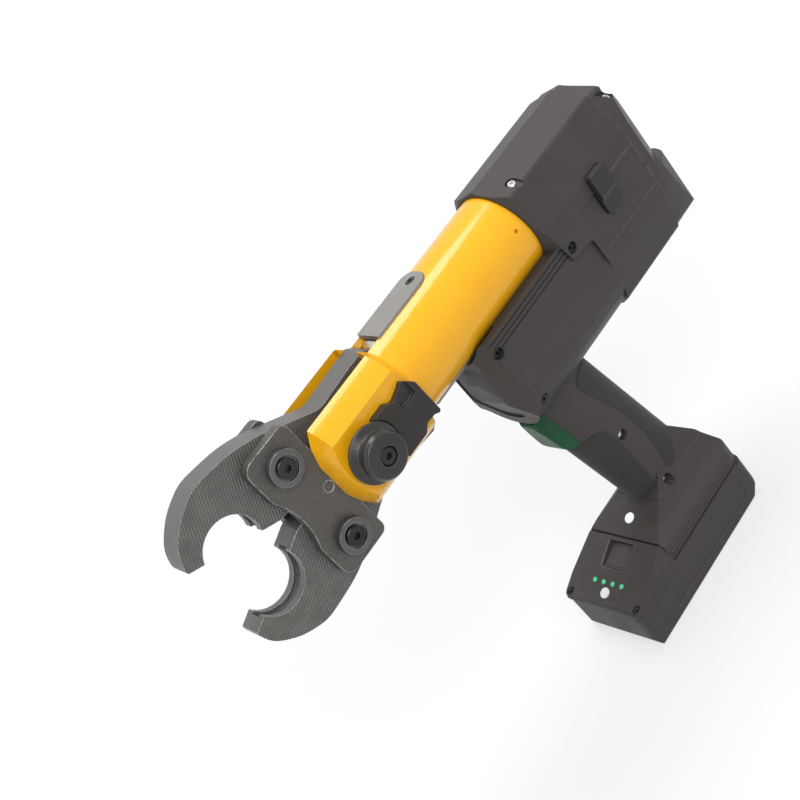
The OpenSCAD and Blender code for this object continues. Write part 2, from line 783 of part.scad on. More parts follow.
module housing_half(y0, y1) {
    difference() {
        intersection() {
            outer_solid(0);
            box(cap_back, 0, y0, y1, base_z, 60);
        }
        difference() {
            inner_space();
            grip_posts();
        }
        inlay_ring(rear_inlay, 1);
        inlay_ring(front_inlay, 1);
        for (s = grip_screws) {
            bar_y(-10, grip_half + cut, screw_r, s[0], s[1]);
            bar_y(grip_screw_y - 2.6, grip_half + 8, screw_head_r + 0.3, s[0], s[1]);
        }
        for (s = wall_screws) {
            bar_y(s[2] - 11, s[2] + cut, screw_r, s[0], s[1]);
            bar_y(s[2] - 3, s[2] + 8, screw_head_r + 0.3, s[0], s[1]);
        }
        side_recess();
        front_panel();
        roof_pose() drop_seat(roof_sink, 3.2);
        side(body_half - 1.6 - reset_travel - slide_gap, body_half + 5) reset_outline(slide_gap);
        work_light_seat();
        rails();
    }
}

recess_in = body_half - 1.5;
recess_out = body_half + 6;
recess_lean = recess_out - recess_in;

// Shallow panel with leaning walls on the left side, behind the grip
module side_recess() {
    intersection() {
        along(cap_x - cut, -200) polygon([
            [recess_in, -17], [recess_in, -50], [recess_out, -50 - recess_lean], [recess_out, -17 + recess_lean]]);
        translate([0, 0, -70]) linear_extrude(80) polygon([
            [cap_x - cut, recess_in - cut], [-214 - cut, recess_in - cut], [-214 + recess_lean, recess_out],
            [cap_x - cut, recess_out]]);
    }
}

module rails() {
    for (z = [-23, -26.5, -30]) for (y = [-36, 33.2]) box(-203, -100, y, y + 2.8, z - 0.7, z + 0.7);
}

light_x = foot_front - 13;

module work_light_seat() {
    translate([light_x, 0, foot_high + 2]) rotate([0, 20, 0]) cylinder(h = 12, r = 4.2, center = true);
}

module work_light() {
    color("#d9dadb") placed() intersection() {
        translate([light_x, 0, foot_high + 2]) rotate([0, 20, 0])
            translate([0, 0, -5.5]) cylinder(h = 6, r = 4);
        box(-140, -90, -10, 10, foot_high - 8, foot_high + 12);
    }
}

module housing_left() {
    color("#4a4644") placed() housing_half(0, 60);
}

module housing_right() {
    color("#4a4644") placed() housing_half(-60, 0);
}

module grip_rear() {
    color("#35332f") placed() difference() {
        inlay_ring(rear_inlay, 1);
        rear_solid();
        barrel_solid();
    }
}

module grip_front() {
    color("#35332f") placed() difference() {
        inlay_ring(front_inlay, 1);
        for (s = grip_screws) bar_y(-grip_half - 4, grip_half + 4, screw_head_r + 0.3, s[0], s[1]);
    }
}

module housing_screws() {
    color("#2b2a29") placed() {
        for (s = grip_screws) {
            bar_y(-9.5, grip_screw_y - 2.6, screw_r - seat_gap, s[0], s[1]);
            bar_y(grip_screw_y - 2.6, grip_screw_y, screw_head_r, s[0], s[1]);
        }
        for (s = wall_screws) {
            bar_y(s[2] - 10.5, s[2] - 3, screw_r - seat_gap, s[0], s[1]);
            bar_y(s[2] - 3, s[2] - 0.4, screw_head_r, s[0], s[1]);
        }
        roof_pose() drop_screw(roof_sink, 3.2);
        cap_pose() drop_screw(cap_sink, 5);
    }
}

cap_section = both_sides([[0, roof_z - 2, 0], [27.6, 25.2, 4], [body_half - 0.8, -6, 12], [body_half - 1.6, -60, 20],
                         [body_half - 9, -90, 7], [12, -102.9, 8], [0, -103.9, 0]]);
cap_edge = [[cap_x, 60, 0], [cap_x, -112, 0], [cap_x - 8, -103, 6], [cap_x - 25, -93.5, 10], [cap_back + 1, -78, 12],
            [cap_back, -54, 6], [cap_back + 4.5, -43, 5], [cap_back + 6, -12, 14], [cap_x - 18, 12, 8],
            [cap_x - 8, 31, 5]];

// Outline of the cap from above, for its upper part and for the bulge below it
module cap_plan(low, high, side_x, corner_x, corner_y, end_x) {
    translate([0, 0, low]) linear_extrude(high - low) polygon(rounded([
        [cap_x, -body_half - 2, 0], [cap_x, body_half + 2, 0], [side_x, body_half - 0.5, 8],
        [corner_x, corner_y, 10], [end_x, 9, 10], [end_x, -9, 10],
        [corner_x, -corner_y, 10], [side_x, -body_half + 0.5, 8]]));
}

module rear_cap() {
    color("#4a4644") placed() difference() {
        intersection() {
            along(cap_back, cap_x) polygon(rounded(cap_section));
            side(-60, 60) polygon(rounded(cap_edge));
            union() {
                cap_plan(-50, 60, cap_x - 8, cap_x - 22, body_half - 13.8, cap_back + 4);
                cap_plan(-130, -46, cap_x - 12, cap_x - 26.5, body_half - 10.5, cap_back);
            }
        }
        bar_x(tank_back, cap_x + cut, tank_r + slide_gap);
        bar_x(cap_x - 8, cap_x + cut, motor_r, motor_z);
        cap_pose() drop_seat(cap_sink, 5);
    }
}

reset_travel = 2;

module reset_outline(grow) {
    polygon(rounded([[-229 + grow, grow - 3.5, 3], [-245 - grow, grow - 3.5, 3],
                     [-245 - grow, -35 - grow, 3], [-229 + grow, -35 - grow, 3]]));
}

module reset_button() {
    color("#2b2a29") placed() intersection() {
        side(body_half - 1.6, body_half + 4.5) reset_outline(0);
        along(-250, -220) polygon([[30, 0], [body_half + 4.5, -4], [body_half + 4.5, -21], [body_half + 2, -24],
                                   [body_half + 1.4, -36], [30, -36]]);
    }
}

// Motor, gears, pump and switch

module motor_can() {
    color("#55575a") placed() difference() {
        bar_x(motor_back, motor_front, motor_r, motor_z);
        bar_x(motor_back + 3, motor_front - 3, motor_r - 2, motor_z);
        bar_x(motor_back - cut, motor_front - 2, shaft_r + run_gap, motor_z);
    }
}

module rotor() {
    color("#b0743a") placed() {
        bar_x(gear_back + 12, motor_front - 3, shaft_r, motor_z);
        difference() {
            bar_x(motor_back + 12, motor_front - 16, motor_r - 6, motor_z);
            for (a = [0:45:315]) translate([motor_back, 0, motor_z]) rotate([a, 0, 0])
                box(8, 80, -1.2, 1.2, motor_r - 10, motor_r);
        }
    }
}

module gear_case() {
    color("#707275") placed() difference() {
        bar_x(gear_back, motor_back - seat_gap, motor_r, motor_z);
        bar_x(gear_back + 6, motor_back + cut, motor_r - 4, motor_z);
        bar_x(gear_back - cut, gear_back + 8, 6 + run_gap, motor_z);
    }
}

throw = 2.5;

module eccentric_shaft() {
    color("#b5b5b5") placed() {
        bar_x(pump_back + 4, gear_back + 10, 6, motor_z);
        bar_x(gear_back - 22, gear_back - 8, 9, motor_z + throw);
    }
}

module pump_block() {
    color("#9a9c9e") placed() difference() {
        union() {
            bar_x(pump_back, pump_front - seat_gap, tube_r - slide_gap);
            box(pump_back, gear_back - 2, -motor_r + 2, motor_r - 2, motor_z, 0);
            bar_x(pump_back, gear_back - 2, motor_r - 2, motor_z);
        }
        bar_x(pump_back + 3, gear_back, 6 + run_gap, motor_z);
        bar_x(gear_back - 24, gear_back + cut, 13, motor_z);
        bar_x(gear_back - 6, pump_front + cut, 5);
    }
}

module oil_tank() {
    color("#2c2c2c") placed() bar_x(tank_back + seat_gap, pump_back - seat_gap, tank_r);
}

module switch() {
    color("#303236") placed() box(switch_x, trigger_pocket_back - 6, -switch_half, switch_half, -134, -108);
}

module control_board() {
    color("#2f5d3a") placed()
        box(board_back, board_front, -board_half, board_half, foot_high - 7.9, foot_high - 6.3);
}

module terminal_block() {
    color("#3a3a3a") placed() {
        box(foot_back + 4.2, boss_back - 2, -21.8, 21.8, foot_low + 0.4, rail_high + slide_gap - seat_gap);
        for (y = [-15, 0, 15]) box(boss_back - 3, boss_back + 14, y - 0.5, y + 0.5, rail_low, rail_high - 2);
    }
}

trigger_edge = [[-101.5, -103.2, 2], [-104.5, -118, 20], [-107.2, -132, 6], [-111, -139.5, 4], [-116, -141, 2],
                [-126, -141, 0], [-126, -103.2, 0]];

module trigger() {
    color("#2a5b3c") placed() difference() {
        intersection() {
            side(-trigger_half, trigger_half) polygon(rounded(trigger_edge));
            translate([0, 0, -150]) linear_extrude(60) polygon(rounded([
                [-101, -4, 0], [-101, 4, 0], [-106, trigger_half, 7], [-127, trigger_half, 0],
                [-127, -trigger_half, 0], [-106, -trigger_half, 7]]));
        }
        box(-127, -112, -trigger_half + 2.5, trigger_half - 2.5, -138, -107);
    }
}

// Battery

pack_top = foot_low - 0.5;
block_top = foot_high - 2.7;
seam_z = pack_top - 2;
pack_wall = 2.7;

module pack_plan(inset) {
    polygon(rounded([[pack_front - inset, -pack_half + inset, 6 - inset], [pack_front - inset, pack_half - inset, 6 - inset],
                     [pack_back + inset, pack_half - inset, 12 - inset],
                     [pack_back + inset, -pack_half + inset, 12 - inset]]));
}

case_corner_r = 9.5;

module case_solid() {
    intersection() {
        translate([0, 0, base_z]) linear_extrude(seam_z - base_z) polygon(rounded([
            [pack_front, -pack_half, case_corner_r], [pack_front, pack_half, case_corner_r],
            [pack_back, pack_half, case_corner_r], [pack_back, -pack_half, case_corner_r]]));
        side(-60, 60) polygon(rounded([[pack_front - 3, base_z, 3], [pack_front + 2, base_z + 14, 5],
                                       [pack_front, seam_z, 0], [pack_back, seam_z, 0], [pack_back, base_z + 14, 8],
                                       [pack_back + 12, base_z, 8]]));
        along(pack_back, pack_front + 2) polygon(rounded([[-pack_half + 2, base_z, 2], [pack_half - 2, base_z, 2],
                                                          [pack_half, seam_z - 8, 4], [pack_half, seam_z, 0],
                                                          [-pack_half, seam_z, 0], [-pack_half, seam_z - 8, 4]]));
    }
}

case_panel_sink = 0.6;
case_panel = rounded([[pack_back + 15, base_z + 8, 4], [pack_front - 13, base_z + 8, 4],
                      [pack_front - 13, seam_z - 5, 4], [pack_back + 15, seam_z - 5, 4]]);

// Sunk panel on each long side of the battery
module side_panels() {
    for (way = [-1, 1]) difference() {
        side(way > 0 ? pack_half / 2 : -pack_half - cut, way > 0 ? pack_half + cut : -pack_half / 2)
            polygon(case_panel);
        translate([0, -way * case_panel_sink, 0]) case_solid();
    }
}

module battery_case() {
    color("#474341") placed() difference() {
        case_solid();
        side_panels();
        box(pack_back + cell_room, pack_front - cell_room, -pack_half + pack_wall, pack_half - pack_wall,
            base_z + pack_wall, seam_z + cut);
        for (y = [-1, 1]) bar_z(pack_front - 5, y * (pack_half - 5), seam_z - 8, seam_z + cut, 1.6);
        button_seat();
    }
}

module bar_z(x, y, z0, z1, r) {
    translate([x, y, z0]) cylinder(h = z1 - z0, r = r);
}

block_edge = [[foot_front + 0.4, pack_top, 0], [foot_front + 0.4, block_top, 1.5],
              [pack_front - 6, block_top - foot_slope * (pack_front - 6 - foot_front), 5], [pack_front, pack_top + 0.5, 3],
              [pack_front, seam_z, 0], [foot_front + 0.4, seam_z, 0]];
window_x = foot_front + 13.5;
window_long = 10;
window_half = 12;
window_deep = 11.3;
release_deep = 9;
front_rib_r = 1.1;

module battery_top() {
    color("#474341") placed() difference() {
        union() {
            translate([0, 0, seam_z]) linear_extrude(pack_top - seam_z) pack_plan(0);
            intersection() {
                side(-pack_half, pack_half) polygon(rounded(block_edge));
                along(foot_front, pack_front + cut) polygon(rounded([
                    [-pack_half, seam_z, 0], [pack_half, seam_z, 0], [pack_half, pack_top + 6, 3],
                    [pack_half - 5, block_top + 2, 0], [-pack_half + 5, block_top + 2, 0], [-pack_half, pack_top + 6, 3]]));
                translate([0, 0, seam_z]) linear_extrude(40) pack_plan(0);
            }
            box(boss_back, foot_front + cut, -neck_half, neck_half, pack_top - cut, rail_low + cut);
            box(boss_back, foot_front + cut, -rail_half, rail_half, rail_low, rail_high);
            bar_y(-pack_half + 5, pack_half - 5, front_rib_r, pack_front - 0.6, pack_top + 0.6);
        }
        for (y = [-15, 0, 15]) box(boss_back - cut, boss_back + 16, y - 1.5, y + 1.5, rail_low - 2, rail_high + cut);
        on_slope(window_x, 0, 0) window_prism(0, -window_deep, 4);
        for (y = [-1, 1]) {
            bar_z(pack_front - 5, y * (pack_half - 5), seam_z - cut, pack_top + 20, 1.6);
            bar_z(pack_front - 5, y * (pack_half - 5), seam_z + 1.2, pack_top + 20, 3.2);
        }
        for (i = [0:3]) light_pose(i) cylinder(h = 6, r = 2, center = true);
        button_seat();
    }
}

module battery_screws() {
    color("#8a8a8a") placed() for (y = [-1, 1]) {
        bar_z(pack_front - 5, y * (pack_half - 5), seam_z - 7, seam_z + 1.2, 1.5);
        bar_z(pack_front - 5, y * (pack_half - 5), seam_z + 1.2, seam_z + 3.4, 3);
    }
}

module battery_cells() {
    middle = (pack_back + pack_front) / 2 + cell_shift;
    color("#5f7f9c") placed() for (i = [0:cells - 1])
        bar_y(-pack_half + pack_wall + seat_gap, pack_half - pack_wall - seat_gap, cell_r,
              middle + (i - (cells - 1) / 2) * cell_pitch, base_z + pack_wall + cell_r + seat_gap);
}

light_pitch = 8.84;
slope_angle = atan(foot_slope);
function slope_z(x) = block_top - foot_slope * (x - foot_front);

module on_slope(x, y, sink) {
    translate([x, y, slope_z(x)]) rotate([0, slope_angle, 0]) translate([0, 0, -sink]) children();
}

module light_pose(i) {
    on_slope(pack_front - 17, (i - 1.5) * light_pitch, 0) children();
}

module button_pose() {
    on_slope(pack_front - 10, 0, 0) children();
}

module button_seat() {
    button_pose() cylinder(h = 6, r = 4.1, center = true);
}

module charge_lights() {
    color("#3fae7a") placed() for (i = [0:3]) light_pose(i) translate([0, 0, -3]) cylinder(h = 3.2, r = 1.9);
}

module charge_button() {
    color("#d8d8d6") placed() button_pose() translate([0, 0, -1.6]) cylinder(h = 2.4, r = 4);
}

// Release window and latch, drawn on the slope: X along it, Z out of it
module window_prism(inset, low, high) {
    half_x = window_long - inset;
    half_y = window_half - inset;
    translate([0, 0, low]) linear_extrude(high - low) polygon(rounded([
        [-half_x, -half_y, 2.4], [half_x, -half_y, 2.4], [half_x, half_y, 2.4], [-half_x, half_y, 2.4]]));
}

module release_button() {
    color("#33312f") placed() on_slope(window_x, 0, 0) intersection() {
        window_prism(slide_gap, -release_deep, 0);
        side(-20, 20) polygon([[-12, -release_deep], [12, -release_deep], [12, -1.4], [window_long - 2, -1.4],
                               [window_long - 2.6, -2.6], [-window_long + 1.6, -4.6], [-12, -4.6]]);
    }
}

housing_left();
housing_right();
rear_cap();
reset_button();
grip_rear();
grip_front();
housing_screws();
work_light();
motor_can();
rotor();
gear_case();
eccentric_shaft();
pump_block();
oil_tank();
cylinder_sleeve();
bearing_rings();
retaining_ring();
switch();
control_board();
terminal_block();
trigger();
head_shell();
guard_top();
guard_bottom();
guard_screws();
piston();
piston_seal();
return_spring();
roller_fork();
roller_pins();
upper_roller();
lower_roller();
locking_pin();
pin_knob();
knob_screw();
latch_slide();
plate_left();
plate_right();
jaw_bolts();
bolt_screws();
jaw_spring();
spring_pin();
upper_lever();
lower_lever();
battery_case();
battery_top();
battery_cells();
battery_screws();
charge_lights();
release_button();
charge_button();
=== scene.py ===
"""Looks of the press tool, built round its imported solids. Metres, in the row frame."""

import json
from math import cos, pi, radians, sin

import bmesh
import bpy
from bpy.props import FloatProperty, FloatVectorProperty, PointerProperty
from mathutils import Matrix, Vector
from mathutils.bvhtree import BVHTree
from mathutils.geometry import intersect_line_line_2d, intersect_point_line

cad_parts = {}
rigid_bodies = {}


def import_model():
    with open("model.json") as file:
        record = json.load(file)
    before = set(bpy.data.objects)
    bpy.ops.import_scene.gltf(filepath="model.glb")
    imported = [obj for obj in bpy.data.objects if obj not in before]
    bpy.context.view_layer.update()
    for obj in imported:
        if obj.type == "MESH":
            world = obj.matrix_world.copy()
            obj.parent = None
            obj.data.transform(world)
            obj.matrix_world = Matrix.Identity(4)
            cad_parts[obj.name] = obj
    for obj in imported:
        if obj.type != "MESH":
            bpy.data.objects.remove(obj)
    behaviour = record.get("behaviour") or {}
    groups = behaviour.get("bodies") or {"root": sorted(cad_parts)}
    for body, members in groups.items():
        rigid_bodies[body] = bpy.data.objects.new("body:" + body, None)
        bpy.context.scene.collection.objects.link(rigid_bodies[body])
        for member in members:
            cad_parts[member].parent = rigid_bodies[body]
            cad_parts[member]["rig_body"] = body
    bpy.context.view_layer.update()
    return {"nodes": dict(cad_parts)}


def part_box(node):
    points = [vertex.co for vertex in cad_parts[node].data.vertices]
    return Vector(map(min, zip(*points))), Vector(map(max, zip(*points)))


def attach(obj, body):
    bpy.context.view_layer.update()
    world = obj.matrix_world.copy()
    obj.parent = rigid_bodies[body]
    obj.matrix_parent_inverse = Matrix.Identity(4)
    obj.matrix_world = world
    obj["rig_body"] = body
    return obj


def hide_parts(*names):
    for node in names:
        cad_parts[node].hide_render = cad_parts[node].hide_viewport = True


bl_info = {
    "name": "Press tool looks",
    "version": (1, 0, 0),
    "blender": (4, 5, 0),
    "location": "3D View > Sidebar > Press tool",
    "description": "Dresses the packed press tool with soft edges, finishes, screws and a stage",
    "category": "Object",
}

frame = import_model()
NODES = frame["nodes"]
MM = 0.001
PIN_LOW, PIN_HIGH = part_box("locking_pin")
PIN = Vector(((PIN_LOW.x + PIN_HIGH.x) / 2, 0.0, (PIN_LOW.z + PIN_HIGH.z) / 2))
FINISHES = {}
GROUPS = {}
NUMBER = "NodeSocketFloat"
WHITE = (1.0, 1.0, 1.0, 1.0)

# Screws: sides, names of sizes, the recess's share of the height, and the gap that is merged
SCREW_SIDES = 40
SCREW_SIZES = ("Head Radius", "Head Height", "Chamfer", "Drive Radius", "Drive Waist", "Lobes")
RECESS_SHARE = 0.7
SEAM = 0.000004

# Each lever's opening at rest in degrees, and how far its mouth lies ahead of its bolt
UPPER_OPEN = 24.5
LOWER_OPEN = 19.0
MOUTH_AHEAD = 0.042

# A lever's outer edge: its least distance from the mouth, and its start ahead of the locking pin
RIM_REACH = 0.024
RIM_START = 0.002

# Rounding: share of the free room that a bevel takes, its least weight, and how chains are held back
ROOM_SHARE = 0.42
LEAST_WEIGHT = 0.06
TRIES = 9
GENTLE_TRIES = 3
HOLD_BACK = 0.45
MOST_SPOTS = 160
FEW_CORNERS = 8
SMOOTH_ANGLE = 38.0

# Rounding radii of the smaller pieces
FINE_EDGE = 0.0004
TURNED_EDGE = 0.0005
LATCH_EDGE = 0.0006
RELEASE_EDGE = 0.0007
RESET_EDGE = 0.0008
INLAY_EDGE = 0.0012
TRIGGER_EDGE = 0.0014

# Battery block: the way out of its slope, its lights, and its screws' distance from the middle
BLOCK_WAY = Vector((0.34, 0.0, 0.94))
LIGHTS = 4
LIGHT_WIDTH = 0.0037
DOME_LIFT = 0.0016
BLOCK_SCREW_ASIDE = 0.033

# Camera: its right, up and back axes, its place from the locking pin, and its sensor in millimetres
CAMERA_AXES = (
    (-0.56691, 0.57081, -0.59396), (-0.75921, -0.08222, 0.64563), (0.31970, 0.81696, 0.47998))
CAMERA_PLACE = Vector((0.209317, 0.659027, 0.373138))
SENSOR_WIDTH = 36.0

# The way to each lamp and its breadth in degrees
KEY_WAY, KEY_BREADTH = Vector((-0.22, -0.15, 0.96)), 30.0
FILL_WAY, FILL_BREADTH = Vector((0.20, 0.70, 0.68)), 40.0

# Floor: its radius and drop, its tone for light that lands on it, and its tone and glow as it is seen
FLOOR_RADIUS = 40.0
FLOOR_DROP = 0.0004
FLOOR_LIT = 0.50
FLOOR_SEEN = 0.28
FLOOR_GLOW = 0.65


def at(x, y, z):
    """A point given in millimetres from the locking pin's centre, as a row-frame vector."""
    return PIN + Vector((x, y, z)) * MM


# Settings

COLOUR = {"subtype": "COLOR", "min": 0.0, "max": 1.0}


class HousingSettings(bpy.types.PropertyGroup):
    """Moulded drive housing and its soft grip."""

    colour: FloatVectorProperty(
        name="Housing colour", description="Warm dark grey of the moulded shells",
        default=(0.044, 0.0395, 0.0378), **COLOUR)
    grip_colour: FloatVectorProperty(
        name="Grip colour", description="Colour of the soft inlays",
        default=(0.032, 0.029, 0.028), **COLOUR)
    trigger_colour: FloatVectorProperty(
        name="Trigger colour", description="Dark green of the trigger",
        default=(0.008, 0.058, 0.024), **COLOUR)
    crease: FloatProperty(
        name="Crease radius", description="Rounding of the housing's outer creases",
        unit="LENGTH", default=0.0016, min=0.0002, max=0.004)


class HeadSettings(bpy.types.PropertyGroup):
    """Painted head, its guards, knob and latch."""

    paint: FloatVectorProperty(
        name="Paint colour", description="Glossy yellow of the head",
        default=(0.900, 0.430, 0.008), **COLOUR)
    guard: FloatVectorProperty(
        name="Guard colour", description="Grey of the guard bars",
        default=(0.235, 0.225, 0.215), **COLOUR)
    edge: FloatProperty(
        name="Edge radius", description="Rounding of the cast fork's edges",
        unit="LENGTH", default=0.0009, min=0.0001, max=0.003)


class JawSettings(bpy.types.PropertyGroup):
    """Jaw levers, plates and bolts."""

    steel: FloatVectorProperty(
        name="Jaw colour", description="Dark tone of the heat-treated jaw steel",
        default=(0.070, 0.066, 0.062), **COLOUR)
    edge: FloatProperty(
        name="Edge break", description="Broken edge of levers and plates",
        unit="LENGTH", default=0.0009, min=0.0001, max=0.003)
    line_pitch: FloatProperty(
        name="Cut pitch", description="Pitch of the cutter lines on the lever faces",
        unit="LENGTH", default=0.0019, min=0.0003, max=0.004)


class BatterySettings(bpy.types.PropertyGroup):
    """Battery case, its block and its lights."""

    colour: FloatVectorProperty(
        name="Battery colour", description="Dark grey of the battery mouldings",
        default=(0.042, 0.038, 0.0365), **COLOUR)
    light: FloatVectorProperty(
        name="Light colour", description="Green of the charge lights",
        default=(0.045, 0.430, 0.200), **COLOUR)
    edge: FloatProperty(
        name="Edge radius", description="Rounding of the battery's edges",
        unit="LENGTH", default=0.0014, min=0.0002, max=0.004)


class StageSettings(bpy.types.PropertyGroup):
    """Camera, lamps and backdrop."""

    lens: FloatProperty(
        name="Lens", description="Focal length of the camera, in millimetres on a 36 mm sensor",
        default=58.5, min=20.0, max=200.0)
    world_level: FloatProperty(
        name="World level", description="Strength of the even light from all round",
        default=0.35, min=0.0, max=2.0)
    key_level: FloatProperty(
        name="Key level", description="Light from overhead, as the level that it gives white card",
        default=0.58, min=0.0, max=3.0)
    fill_level: FloatProperty(
        name="Fill level", description="Light from the camera's side, as the level that it gives white card",
        default=0.55, min=0.0, max=3.0)


SETTINGS = {
    "press_housing": HousingSettings,
    "press_head": HeadSettings,
    "press_jaws": JawSettings,
    "press_battery": BatterySettings,
    "press_stage": StageSettings,
}


# Node trees


def put(tree, kind, values=None, **options):
    """Adds a node, sets its options, and sets or links its inputs by name or number."""
    node = tree.nodes.new(kind)
    for name, value in options.items():
        setattr(node, name, value)
    for name, value in (values or {}).items():
        if isinstance(value, bpy.types.NodeSocket):
            tree.links.new(value, node.inputs[name])
        else:
            node.inputs[name].default_value = value
    return node


def made(tree, kind, values=None, **options):
    """The first output of a node that put adds."""
    return put(tree, kind, values, **options).outputs[0]


def math(tree, operation, first, second=0.0):
    """The result of a Math node."""
    return made(tree, "ShaderNodeMath", {0: first, 1: second}, operation=operation)


def vector_math(tree, operation, first, second=(0.0, 0.0, 0.0)):
    """The vector result of a Vector Math node."""
    return made(tree, "ShaderNodeVectorMath", {0: first, 1: second}, operation=operation)


def spread(tree, value, low, high, to_low=0.0, to_high=1.0):
    """The value mapped from low..high to to_low..to_high and clamped."""
    values = {"Value": value, "From Min": low, "From Max": high, "To Min": to_low, "To Max": to_high}
    return put(tree, "ShaderNodeMapRange", values).outputs["Result"]


def blend_colour(tree, share, first, second):
    """Two colours mixed by share."""
    values = {"Factor": share}
    for number, value in ((6, first), (7, second)):
        values[number] = value if isinstance(value, bpy.types.NodeSocket) else (*value[:3], 1.0)
    return put(tree, "ShaderNodeMix", values, data_type="RGBA").outputs[2]


def noise(tree, vector, scale, detail, roughness=0.5, distortion=0.0):
    """The value of a Noise Texture node."""
    return put(tree, "ShaderNodeTexNoise", {
        "Vector": vector, "Scale": scale, "Detail": detail, "Roughness": roughness,
        "Distortion": distortion}).outputs["Fac"]


def new_tree(name, kind, inputs, outputs):
    """A node group with named inputs and outputs: the tree, what it is given and its result."""
    tree = bpy.data.node_groups.new(name, kind)
    for label, (sort, default) in inputs.items():
        socket = tree.interface.new_socket(label, in_out="INPUT", socket_type=sort)
        if default is not None:
            socket.default_value = default
    for label, sort in outputs.items():
        tree.interface.new_socket(label, in_out="OUTPUT", socket_type=sort)
    given = tree.nodes.new("NodeGroupInput").outputs
    result = tree.nodes.new("NodeGroupOutput").inputs
    return tree, given, result


def build_grain(tree, given, result):
    """Two sizes of noise, for moulded, cast or blasted surfaces."""
    finer = math(tree, "MULTIPLY", given["Scale"], 2.7)
    coarse = noise(tree, given["Vector"], given["Scale"], detail=2.0, roughness=0.55)
    fine = noise(tree, given["Vector"], finer, detail=1.0)
    both = math(tree, "ADD", math(tree, "MULTIPLY", coarse, 0.6), math(tree, "MULTIPLY", fine, 0.4))
    tree.links.new(both, result["Height"])


def build_smudge(tree, given, result):
    """Slow uneven patches, between two values."""
    slow = noise(tree, given["Vector"], given["Scale"], detail=5.0, roughness=0.62, distortion=0.6)
    tree.links.new(spread(tree, slow, 0.32, 0.68), result["Patch"])


def build_wear_and_highlight(tree, given, result):
    """Rubbed edges and painted edge highlight: the marked edge strips, broken up by noise, get a lighter
    tone.
    """
    strip = put(tree, "ShaderNodeAttribute", attribute_name="edge").outputs["Fac"]
    broken = noise(tree, given["Vector"], given["Scale"], detail=4.0, roughness=0.7)
    rubbed_and_highlit = spread(tree, broken, 0.36, 0.66)
    share = math(tree, "MULTIPLY", math(tree, "MULTIPLY", strip, rubbed_and_highlit), given["Amount"])
    tree.links.new(math(tree, "MINIMUM", share, 1.0), result["Mask"])


def build_cuts(tree, given, result):
    """Shallow cutter lines across the first axis of the given vector."""
    lines = put(tree, "ShaderNodeTexWave",
                {"Vector": given["Vector"], "Scale": given["Scale"], "Distortion": 0.7,
                 "Detail": 2.0, "Detail Scale": 0.08}, bands_direction="X")
    share = spread(tree, noise(tree, given["Vector"], 90.0, detail=3.0), 0.3, 0.62, 0.25, 1.0)
    tree.links.new(math(tree, "MULTIPLY", lines.outputs["Fac"], share), result["Height"])


def build_rings(tree, given, result):
    """Turned rings round the Y axis through the given vector's origin."""
    wave = put(tree, "ShaderNodeTexWave",
               {"Vector": given["Vector"], "Scale": given["Scale"], "Distortion": 0.3,
                "Detail": 1.0, "Detail Scale": 0.3},
               wave_type="RINGS", rings_direction="Y")
    tree.links.new(wave.outputs["Fac"], result["Height"])


SHARED_GROUPS = {
    "grain": ("Surface grain", 1500.0, {}, "Height", build_grain),
    "smudge": ("Uneven patches", 30.0, {}, "Patch", build_smudge),
    "wear_highlight": ("Rubbed edges and painted highlight", 220.0, {"Amount": (NUMBER, 1.0)}, "Mask", build_wear_and_highlight),
    "cuts": ("Cutter lines", 300.0, {}, "Height", build_cuts),
    "rings": ("Turned rings", 300.0, {}, "Height", build_rings),
}


def make_groups():
    """Fills GROUPS with the shader groups that several finishes share."""
    for key, (name, scale, extra, output, build) in SHARED_GROUPS.items():
        inputs = {"Vector": ("NodeSocketVector", None), "Scale": (NUMBER, scale), **extra}
        GROUPS[key], given, result = new_tree(name, "ShaderNodeTree", inputs, {output: NUMBER})
        build(GROUPS[key], given, result)


def use(tree, name, **values):
    """A shared group placed in a material."""
    return made(tree, "ShaderNodeGroup", values, node_tree=GROUPS[name])


# Finishes


def times(colour, factor):
    """A colour made lighter or darker by a factor."""
    return [part * factor for part in colour]


def grey(level):
    """A grey of one level."""
    return (level, level, level)


